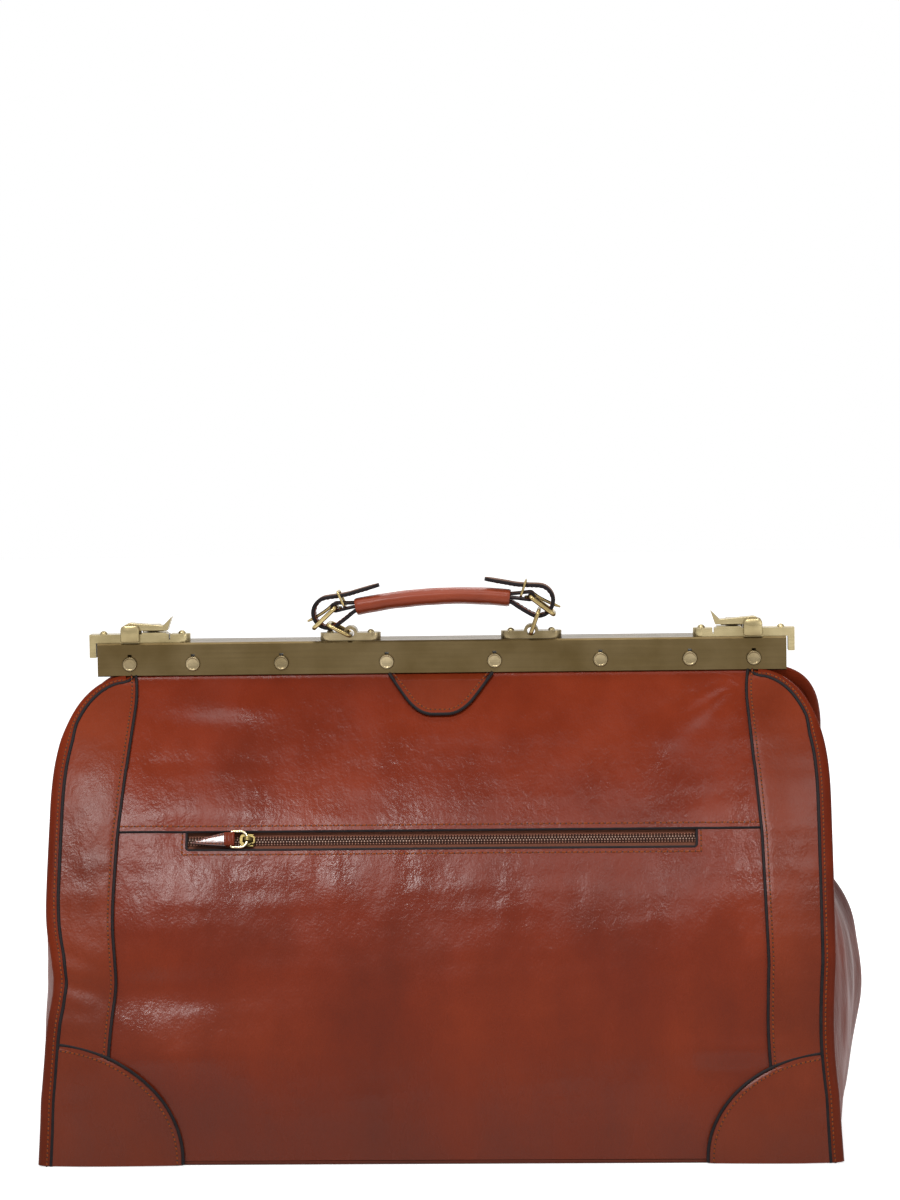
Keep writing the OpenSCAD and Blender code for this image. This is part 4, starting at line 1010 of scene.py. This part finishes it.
LOOP_X = 136.5 / 2
BASE_X = LOOP_X - 9.65
GRIP_END = LOOP_X - 18.25
GRIP_T, GRIP_W, GRIP_RISE, GRIP_Z = 10.4, 20, 3.9, 7.8
STRAP_W, STRAP_T, CHAPE_T, CHAPE_SLOT = 14, 2.3, 1.6, 5.2
BUCKLE_WIRE, LINK_WIRE, KEEPER_WIRE = 3, 2.7, 1.6
BUCKLE_INNER = STRAP_W + 0.6
LINK_INNER = BUCKLE_INNER + 2 * BUCKLE_WIRE + 0.8
LINK_LEN, LINK_LEAN = 15.6, math.radians(62.6)
RING_Z = 3.5
HEEL = np.array([LOOP_X - 5.25, 8.3])
BUCKLE_TIP = np.array([LOOP_X + 9.45, -4.2])
KEEPER_LOW, KEEPER_HIGH = np.array([LOOP_X - 11.05, 8.65]), np.array([LOOP_X - 7.25, 18.3])
SEAT_LEFT, SEAT_RIGHT = np.array([-LOOP_X, -2.4]), np.array([LOOP_X, -1.2])
FOOT_LEFT, FOOT_RIGHT = np.array([-BASE_X, RING_Z]), np.array([BASE_X, RING_Z])
TOP_LEFT = FOOT_LEFT + LINK_LEN * np.array([-math.sin(LINK_LEAN), math.cos(LINK_LEAN)])
REACH = FOOT_RIGHT - TOP_LEFT
GAP = math.hypot(*REACH)
TOP_TURN = math.atan2(REACH[1], REACH[0]) + math.acos(
    ((2 * LOOP_X) ** 2 - GAP ** 2 - LINK_LEN ** 2) / (2 * LINK_LEN * GAP))
TOP_RIGHT = FOOT_RIGHT + LINK_LEN * np.array([math.cos(TOP_TURN), math.sin(TOP_TURN)])
HANDLE_TILT = math.atan2(*(TOP_RIGHT - TOP_LEFT)[::-1]) - math.atan2(*(SEAT_RIGHT - SEAT_LEFT)[::-1])


def on_bar(p):
    """From the middle of the front bar's top."""
    return np.asarray(p, float) + [0, -BAR_MID, BAR_TOP]


def on_handle(p, side=1):
    """From the handle's frame: X along the grip. side -1 is its mirrored left end."""
    x, y, z = np.moveaxis(np.asarray(p, float), -1, 0)
    x, z = side * x - SEAT_LEFT[0], z - SEAT_LEFT[1]
    c, s = math.cos(HANDLE_TILT), math.sin(HANDLE_TILT)
    return on_bar(np.stack([TOP_LEFT[0] + x * c - z * s, y, TOP_LEFT[1] + x * s + z * c], -1))


def wire_loop(name, body, a, b, inner, wire, corner, place, node):
    """A loop of round wire with bars along Y at the points a and b of the X-Z plane."""
    half = (inner + wire) / 2
    run = b - a
    size = np.linalg.norm(run)
    turn = np.radians(np.arange(0, 91, 15))
    quarter = [(corner * (1 - math.cos(t)), half - corner * (1 - math.sin(t))) for t in turn]
    first = quarter + [(size - along, y) for along, y in quarter[::-1]]
    along, y = resample(mirrored(first), 1.1, closed=True).T
    parts = Parts("brass_small")
    line = points_of(a[0] + run[0] * along / size, y, a[1] + run[1] * along / size)
    parts.tube(place(line), wire / 2, 12)
    fixed(parts.make(name), body, "brass_small", node)


def strap_profile(w, t, soft=0.35):
    half, high = w / 2, t / 2
    return [(-half + soft, high), (half - soft, high), (half, high - soft), (half, -high + soft),
            (half - soft, -high), (-half + soft, -high), (-half, -high + soft), (-half, high - soft)]


def smooth(path, rounds=2):
    """Cuts the corners of a path, keeping its ends."""
    path = np.asarray(path, float)
    for _ in range(rounds):
        a, b = path[:-1], path[1:]
        cut = np.stack([0.75 * a + 0.25 * b, 0.25 * a + 0.75 * b], 1).reshape(-1, path.shape[1])
        path = np.concatenate([path[:1], cut[1:-1], path[-1:]])
    return path


def arc_points(centre, radius, start, end, count):
    a = np.radians(np.linspace(start, end, count))
    return [(centre[0] + radius * math.cos(v), centre[1] + radius * math.sin(v)) for v in a]


def band(parts, path, w, t, side, taper=0):
    """A strap along a path in the handle's X-Z plane. taper rounds its first end over that length."""
    x, z = resample(smooth(path), 1.0).T
    line = on_handle(points_of(x, 0, z), side)
    across = np.broadcast_to(np.array([0.0, 1.0, 0.0]), line.shape)
    up = unit(np.cross(across, tangents(line))) * side
    shape = np.ones(len(x))
    if taper:
        run = np.arange(len(x)) * 1.0
        shape = np.sqrt(np.clip(1 - (1 - np.clip((run + 0.2) / taper, 0, 1)) ** 2, 0.02, 1))
    p = loft(line, across, up, strap_profile(w, t), shape)
    parts.solid(p, [0, 1, 1, 1, 2, 1, 1, 1], (1, 1), turned=side < 0)
    return line, across, up


def billet(side):
    """The strap through the buckle, with its stitches and holes."""
    path = [(LOOP_X - 34, 21), (LOOP_X - 21.2, 18.2), (LOOP_X - 12.2, 15.9)]
    path += arc_points((LOOP_X - 0.25, 5), 10, 82, -112, 15)
    path += [(GRIP_END + 6, 1.2), (GRIP_END + 2.5, 4), (GRIP_END, 5.6), (GRIP_END - 8, 6.6)]
    parts, marks = Parts("leather_trim", "edge", "leather_back"), Parts("thread", "hole")
    line, across, up = band(parts, path, STRAP_W, STRAP_T, side, 7)
    name = END_NAME[side]
    fixed(parts.make("strap_" + name, 60), "handle", "handle_leather", "billet_" + name)
    sewn = slice(7, len(line) - 12)
    for y in (-1, 1):
        row = line[sewn] + across[sewn] * y * (STRAP_W / 2 - 2) + up[sewn] * STRAP_T / 2
        stitch_row(marks, row, across[sewn], up[sewn], lift=0.05, radius=0.38)
    # Punched holes: dark discs of painted shade
    for at in (8, 18, 28):
        hole = [(0, 0.66), (1.1, 0.66), (1.3, 0.6), (1.3, 0)]
        marks.lathe(hole, line[at] + up[at] * (STRAP_T / 2 - 0.6), up[at], 14, 1)
    fixed(marks.make("strap_stitches_" + name), "handle", "handle_leather")


def chapes():
    """Split tabs that hold the buckles, on both sides of their prongs."""
    parts = Parts("leather_trim", "edge", "leather_back")
    path = [(GRIP_END - 8, 10.9), (GRIP_END + 1, 10.2)]
    path += arc_points(HEEL, BUCKLE_WIRE / 2 + 0.3 + CHAPE_T / 2, 95, -110, 11)
    path += [(GRIP_END + 1, 7.9), (GRIP_END - 8, 8.7)]
    half = (STRAP_W - CHAPE_SLOT) / 4
    for side in (-1, 1):
        for y in (-1, 1):
            slim = Parts()
            band(slim, path, 2 * half, CHAPE_T, side)
            first = parts.add(np.concatenate(slim.points) + [0, y * (STRAP_W / 2 - half), 0])
            for face, mark in zip(slim.faces, slim.marks):
                parts.face([first + i for i in face], mark)
    fixed(parts.make("chape_leather", 60), "handle", "handle_leather", "chapes")


def prongs():
    """Tapering pins, hooked round the buckles' heels."""
    parts = Parts("brass_small")
    aim = unit(np.array([19.2, -8.4]))
    turn = np.linspace(-0.9 * math.pi, 0.5 * math.pi, 16) + math.atan2(aim[1], aim[0])
    hook = HEEL + 2.7 * np.stack([np.cos(turn), np.sin(turn)], -1)
    far = HEEL + aim * 21
    x, z = np.concatenate([hook, [HEEL + aim * 6 + [0.3, 0.9], far + [-6, 2.6], far]]).T
    line = resample(smooth(points_of(x, 0, z)), 0.8)
    size = np.interp(np.arange(len(line)), [0, len(line) - 6, len(line) - 1], [1.1, 1.1, 0.6])
    for side in (-1, 1):
        p = on_handle(line, side)
        parts.solid(loft(p, *steady_frames(p), circle(1.0), size, size))
    fixed(parts.make("prong_wires"), "handle", "brass_small", "prongs")


def grip():
    """A leather sleeve with a ridge below, open at its ends, and its stitches."""
    rows, sides, skin, ridge_at = 70, 40, 1.5, 30
    outer, inner = [], []
    radius = (GRIP_END ** 2 + GRIP_RISE ** 2) / (2 * GRIP_RISE)
    turn = np.linspace(-1, 1, rows) * math.asin(GRIP_END / radius)
    around, flat_y, flat_z = squared(sides, 0.8)
    ridge = 0.7 * bell(around, 1.5 * np.pi, 0.28)
    for i, a in enumerate(turn):
        lip = 1 - 0.7 / GRIP_T * (i in (0, rows - 1))
        wave = 0.16 * ripple(a * radius, around * 6, 22, 30, 5)
        for found, shrink, more in ((outer, 0.0, wave - ridge), (inner, skin, 0)):
            at = radius + (GRIP_T / 2 - shrink) * flat_z * lip + more
            found.append(points_of(at * math.sin(a), (GRIP_W / 2 - shrink) * flat_y * lip,
                                   GRIP_Z + GRIP_RISE - radius + at * math.cos(a)))
    p = on_handle(np.array(outer + inner[::-1] + outer[:1]))
    parts, seams = Parts("leather_grip", "edge"), Parts("thread", "hole")
    for low, high, kind in ((0, rows, 0), (rows - 1, rows + 1, 1), (rows, 2 * rows, 1),
                            (2 * rows - 1, 2 * rows + 1, 1)):
        parts.ring(p[low:high], kind)
    fixed(parts.make("grip_leather", 55), "handle", "handle_leather", "grip_sleeve")
    line = on_handle(np.array(outer)[2:-2, ridge_at] - [0, 0, 0.02])
    up = np.broadcast_to(np.array([0.0, 0.0, -1.0]), line.shape)
    for y in (-1, 1):
        stitch_row(seams, line + [0, 1.7 * y, 0.42], np.cross(up, tangents(line)), up, radius=0.36)
    fixed(seams.make("grip_stitches"), "handle", "handle_leather")


grip()
chapes()
prongs()
for side, foot, top in ((-1, FOOT_LEFT, TOP_LEFT), (1, FOOT_RIGHT, TOP_RIGHT)):
    billet(side)
    for kind, a, b, inner, wire, corner in (
            ("buckle", HEEL, BUCKLE_TIP, BUCKLE_INNER, BUCKLE_WIRE, 2.6),
            ("keeper", KEEPER_LOW, KEEPER_HIGH, STRAP_W + 0.8, KEEPER_WIRE, 1.6)):
        wire_loop(f"{kind}_wire_{END_NAME[side]}", "handle", a, b, inner, wire, corner,
                  lambda p, s=side: on_handle(p, s), f"{kind}_{END_NAME[side]}")
    wire_loop("link_wire_" + END_NAME[side], "ring_" + END_NAME[side], foot, top, LINK_INNER, LINK_WIRE, 2.6,
              on_bar, "link_" + END_NAME[side])


# Rivets and latches

RIVET_SHARES = (0.1565, 0.4632, 0.7215, 0.9058)
RIVET_Z = BAR_TOP - 13.7
LATCH_H, BASE_H, STUD_R = 5.5, 5.1, 1
EAR_IN, EAR_OUT, EAR_HALF, EAR_LOW, EAR_HIGH = 21.4, 8, 6.1, 0.5, 11.4
LATCH_STUDS, BASE_STUDS = (3.3, 54.5), (-13.2, 13.2)


def rivet_heads(side):
    """Low round heads on the bar's face, with their shanks and the peened ends inside."""
    name = SIDE_NAME[side] + "_rivets"
    low, high = box_mm(name)
    tip, inside = (-low[1], max(-high[1], 0)) if side == FRONT else (high[1], low[1])
    rise, back = tip - BAR_OUT, inside - BAR_OUT
    outline = [(0, rise * 0.78), (3.1, rise * 0.76), (3.5, rise * 0.82), (3.8, rise), (4.3, rise),
               (4.75, rise * 0.7), (4.9, rise * 0.2), (4.85, 0.02),
               (1.2, 0.02), (1.2, back + 1.4), (2.2, back + 1.4), (2.0, back + 0.2), (0, back)]
    parts = Parts("brass_head")
    for share in RIVET_SHARES:
        for x in (-share * BAR_HALF, share * BAR_HALF):
            parts.lathe(outline, (x, side * BAR_OUT, RIVET_Z), (0, side, 0), 32)
    fixed(parts.make("rivet_heads_" + SIDE_NAME[side], 40), UPPER_BODY[side], "brass", name)


def domes(name, places, top, radius, height, node):
    """Small domed rivets through the bar's top."""
    foot = -top - BAR_WALL - 0.8
    outline = [(0, height), (radius * 0.4, height * 0.93), (radius * 0.75, height * 0.66),
               (radius * 0.96, height * 0.3), (radius, 0.02), (STUD_R, 0), (STUD_R, foot), (0, foot)]
    parts = Parts("brass_latch")
    for x in places:
        parts.lathe(outline, (x, -BAR_MID, BAR_TOP + top), (0, 0, 1), 20)
    fixed(parts.make(name, 40), "front_frame", "brass", node)


def ear_plate(right):
    """Smooth round-cornered face on a latch's ear."""
    outline, small, large = [], 1.4, 3.4
    for way, z, r, start in ((-1, EAR_LOW + small, small, 180), (1, EAR_LOW + small, small, 270),
                             (1, EAR_HIGH - large, large, 0), (-1, EAR_HIGH - large, large, 90)):
        outline += arc_points((way * (EAR_HALF - r), z), r, start, start + 90, 7)
    parts = Parts("brass_latch")
    middle = [right * (BAR_HALF - EAR_IN), -BAR_MID - EAR_OUT, BAR_TOP]
    slab(parts, outline, -0.3, 0.9, lambda p: p * [1, -1, 1] + middle, 0.5)
    fixed(parts.make("latch_ear_" + END_NAME[right]), "front_frame", "brass")


for side in (FRONT, BACK):
    rivet_heads(side)
domes("latch_domes", [s * (BAR_HALF - at) for s in (-1, 1) for at in LATCH_STUDS], LATCH_H, 2.5, 2.1,
      "latch_rivets")
domes("base_domes", [s * BASE_X + at for s in (-1, 1) for at in BASE_STUDS], BASE_H, 2.3, 1.9,
      "handle_base_rivets")
for right in (-1, 1):
    ear_plate(right)


# Lining and pocket bag

def lining():
    """A tub of cloth with soft folds and a hemmed rim."""
    low, high = box_mm("lining")
    count = 160
    around, square_x, square_y = squared(count, 0.28)
    rows = []
    for share in np.linspace(0, 1, 26):
        z = low[2] + (high[2] - low[2]) * share
        fold = 1.4 * ripple(around * 60, z, 34, 150, 21) * share ** 0.5 - 1.6
        rows.append(points_of(square_x * (float(edge_x(z)) - LEATHER - 8 + fold),
                              square_y * (float(wall_y(z)) - LEATHER - 4.4 + fold), z))
    outer = np.array(rows)
    inner = outer * [0.996, 0.991, 1]
    inner[0, :, 2] += 1.0
    parts = Parts("cloth")
    parts.ring(outer)
    parts.ring(np.concatenate([outer[-1:], inner[::-1]]))
    for ring, way in ((outer[0], -1), (inner[0], 1)):
        first = parts.add(ring)
        parts.face(range(first, first + count)[::way])
    parts.tube(outer[-1] * [0.998, 0.9955, 1] + [0, 0, -0.6], 1.1, 8)
    fixed(parts.make("lining_bag", 60), "bag_body", "lining_cloth", "lining")


def pocket_bag():
    """A sheet of cloth that hangs behind the zip."""
    low, high = box_mm("pocket_pouch")
    z = np.linspace(low[2] + 0.4, high[2] - 0.4, 24)[:, None]
    x, z = spread(np.linspace(low[0] + 1, high[0] - 1, 60), z)
    calm = np.clip((high[2] - z) / 20, 0, 1)
    y = wall_y(z) - LEATHER - 1.9 - 0.25 * calm * (1 + ripple(x, z, 40, 90, 33))
    piece = sheet("pocket_bag", points_of(x, -y, z), LINING_T, False, ("cloth",) * 3, 60)
    fixed(piece, "bag_body", "lining_cloth", "pocket_pouch")


lining()
pocket_bag()


# Camera, light and floor, in metres

AMBIENT = 0.18
# Lamps: name, place, what it points at, size and power
LAMPS = (("key", (-0.62, -1.6, 2.0), (-0.1, 0, 0.2), (0.74, 0.17), 30),
         ("second", (0.5, -1.6, 2.0), (0.15, 0, 0.2), (0.34, 0.17), 10),
         ("fill", (1.7, -1.5, 0.9), (0, 0, 0.18), (0.4, 1.1), 6),
         ("top", (0, 0.1, 2.3), (0, 0, 0.3), (1.6, 0.3), 13),
         ("back", (0.2, 1.9, 1.5), (0, 0, 0.2), (1.6, 0.6), 9))


def camera():
    """The photograph's view: a long lens, 2.8 degrees to the right and 4.2 degrees above."""
    azimuth, distance, eye = math.radians(2.8), 2.4, 0.52
    pitch, yaw, roll = math.radians(4.23), math.radians(-0.14), math.radians(-0.86)
    data = with_settings(bpy.data.cameras.new("camera"), sensor_width=36, lens=111, clip_start=0.05,
                         clip_end=50)
    turn = Matrix.Rotation(azimuth + yaw, 4, "Z") @ Matrix.Rotation(math.pi / 2 - pitch, 4, "X")
    turn = turn @ Matrix.Rotation(roll, 4, "Z")
    view = shown("camera", data)
    place = (distance * math.sin(azimuth), -distance * math.cos(azimuth), eye)
    view.matrix_world = Matrix.Translation(place) @ turn
    bpy.context.scene.camera = view


def area_light(name, place, target, size, power):
    data = with_settings(bpy.data.lights.new(name, "AREA"), shape="RECTANGLE", size=size[0], size_y=size[1],
                         energy=power)
    lamp = shown(name, data)
    lamp.location = place
    lamp.rotation_euler = (Vector(target) - Vector(place)).to_track_quat("-Z", "Y").to_euler()


def seen_rays(tree):
    """1 for rays from the camera, and for reflections and glass, else 0."""
    path = tree.nodes.new("ShaderNodeLightPath").outputs
    total = path["Is Camera Ray"]
    for kind in ("Is Glossy Ray", "Is Transmission Ray"):
        total = tree.math("MAXIMUM", total, path[kind])
    return total


def surroundings():
    """White to the camera, dim to the object, over a floor that keeps the shadow."""
    world = bpy.data.worlds.new("studio")
    bpy.context.scene.world = world
    sky = Tree(world)
    sky.put(sky.nodes["Background"], {"Color": (1, 1, 1, 1),
                                      "Strength": sky.span(seen_rays(sky), 0, 1, AMBIENT, 1.0)})

    mesh = bpy.data.meshes.new("floor")
    reach = 6.0
    mesh.from_pydata([(-reach, -reach, 0), (reach, -reach, 0), (reach, reach, 0), (-reach, reach, 0)],
                     [], [(0, 1, 2, 3)])
    floor = shown("floor", mesh)
    tree = Tree(bpy.data.materials.new("floor"))
    away = tree.new("ShaderNodeVectorMath", {0: tree.place()}, "Value", operation="LENGTH")
    glow = tree.math("MULTIPLY", tree.span(away, 0.3, 0.9, 0.72, 1.0), seen_rays(tree))
    mesh.materials.append(tree.shade({"Base Color": (0.7, 0.7, 0.7, 1), "Roughness": 0.7,
                                      "Specular IOR Level": 0.2, "Emission Color": (1, 1, 1, 1),
                                      "Emission Strength": glow}))
    for lamp in LAMPS:
        area_light(*lamp)


camera()
surroundings()
bpy.context.scene.view_settings.view_transform = "Standard"


# Finish of the frame's own pieces

CAST = {"strike_plates": "brass_latch"}
for end in END_NAME.values():
    CAST.update({"latch_base_" + end: "brass_latch", "latch_lever_" + end: "brass_latch",
                 "handle_base_" + end: "brass_head"})
SLOT_KIND = {"lining_cloth": "cloth", "zip_tape": "tape", "zip_coil": "teeth", "cord_core": "board",
             "leather_bottom": "bottom", "dark_edge": "edge", "handle_leather": "leather_grip"}
SLOT_OF = {row["node"]: row["material_slot"] for row in frame["record"]["subparts"]}


def finish_nodes():
    """Gives each piece that is kept from the frame its material, and metal soft edges."""
    for name, node in frame["nodes"].items():
        if node.hide_render:
            continue
        kind = CAST.get(name, SLOT_KIND.get(SLOT_OF[name], SLOT_OF[name]))
        node.data.materials.clear()
        node.data.materials.append(MATERIALS[kind])
        with_settings(node.modifiers.new("weld", "WELD"), merge_threshold=0.00001)
        if kind.startswith("brass") or kind == "steel":
            with_settings(node.modifiers.new("flat", "DECIMATE"), decimate_type="DISSOLVE",
                          angle_limit=math.radians(1))
            with_settings(node.modifiers.new("edge", "BEVEL"), width=0.0008 if name in CAST else 0.0005,
                          segments=3, limit_method="ANGLE", angle_limit=math.radians(35), harden_normals=True)


finish_nodes()
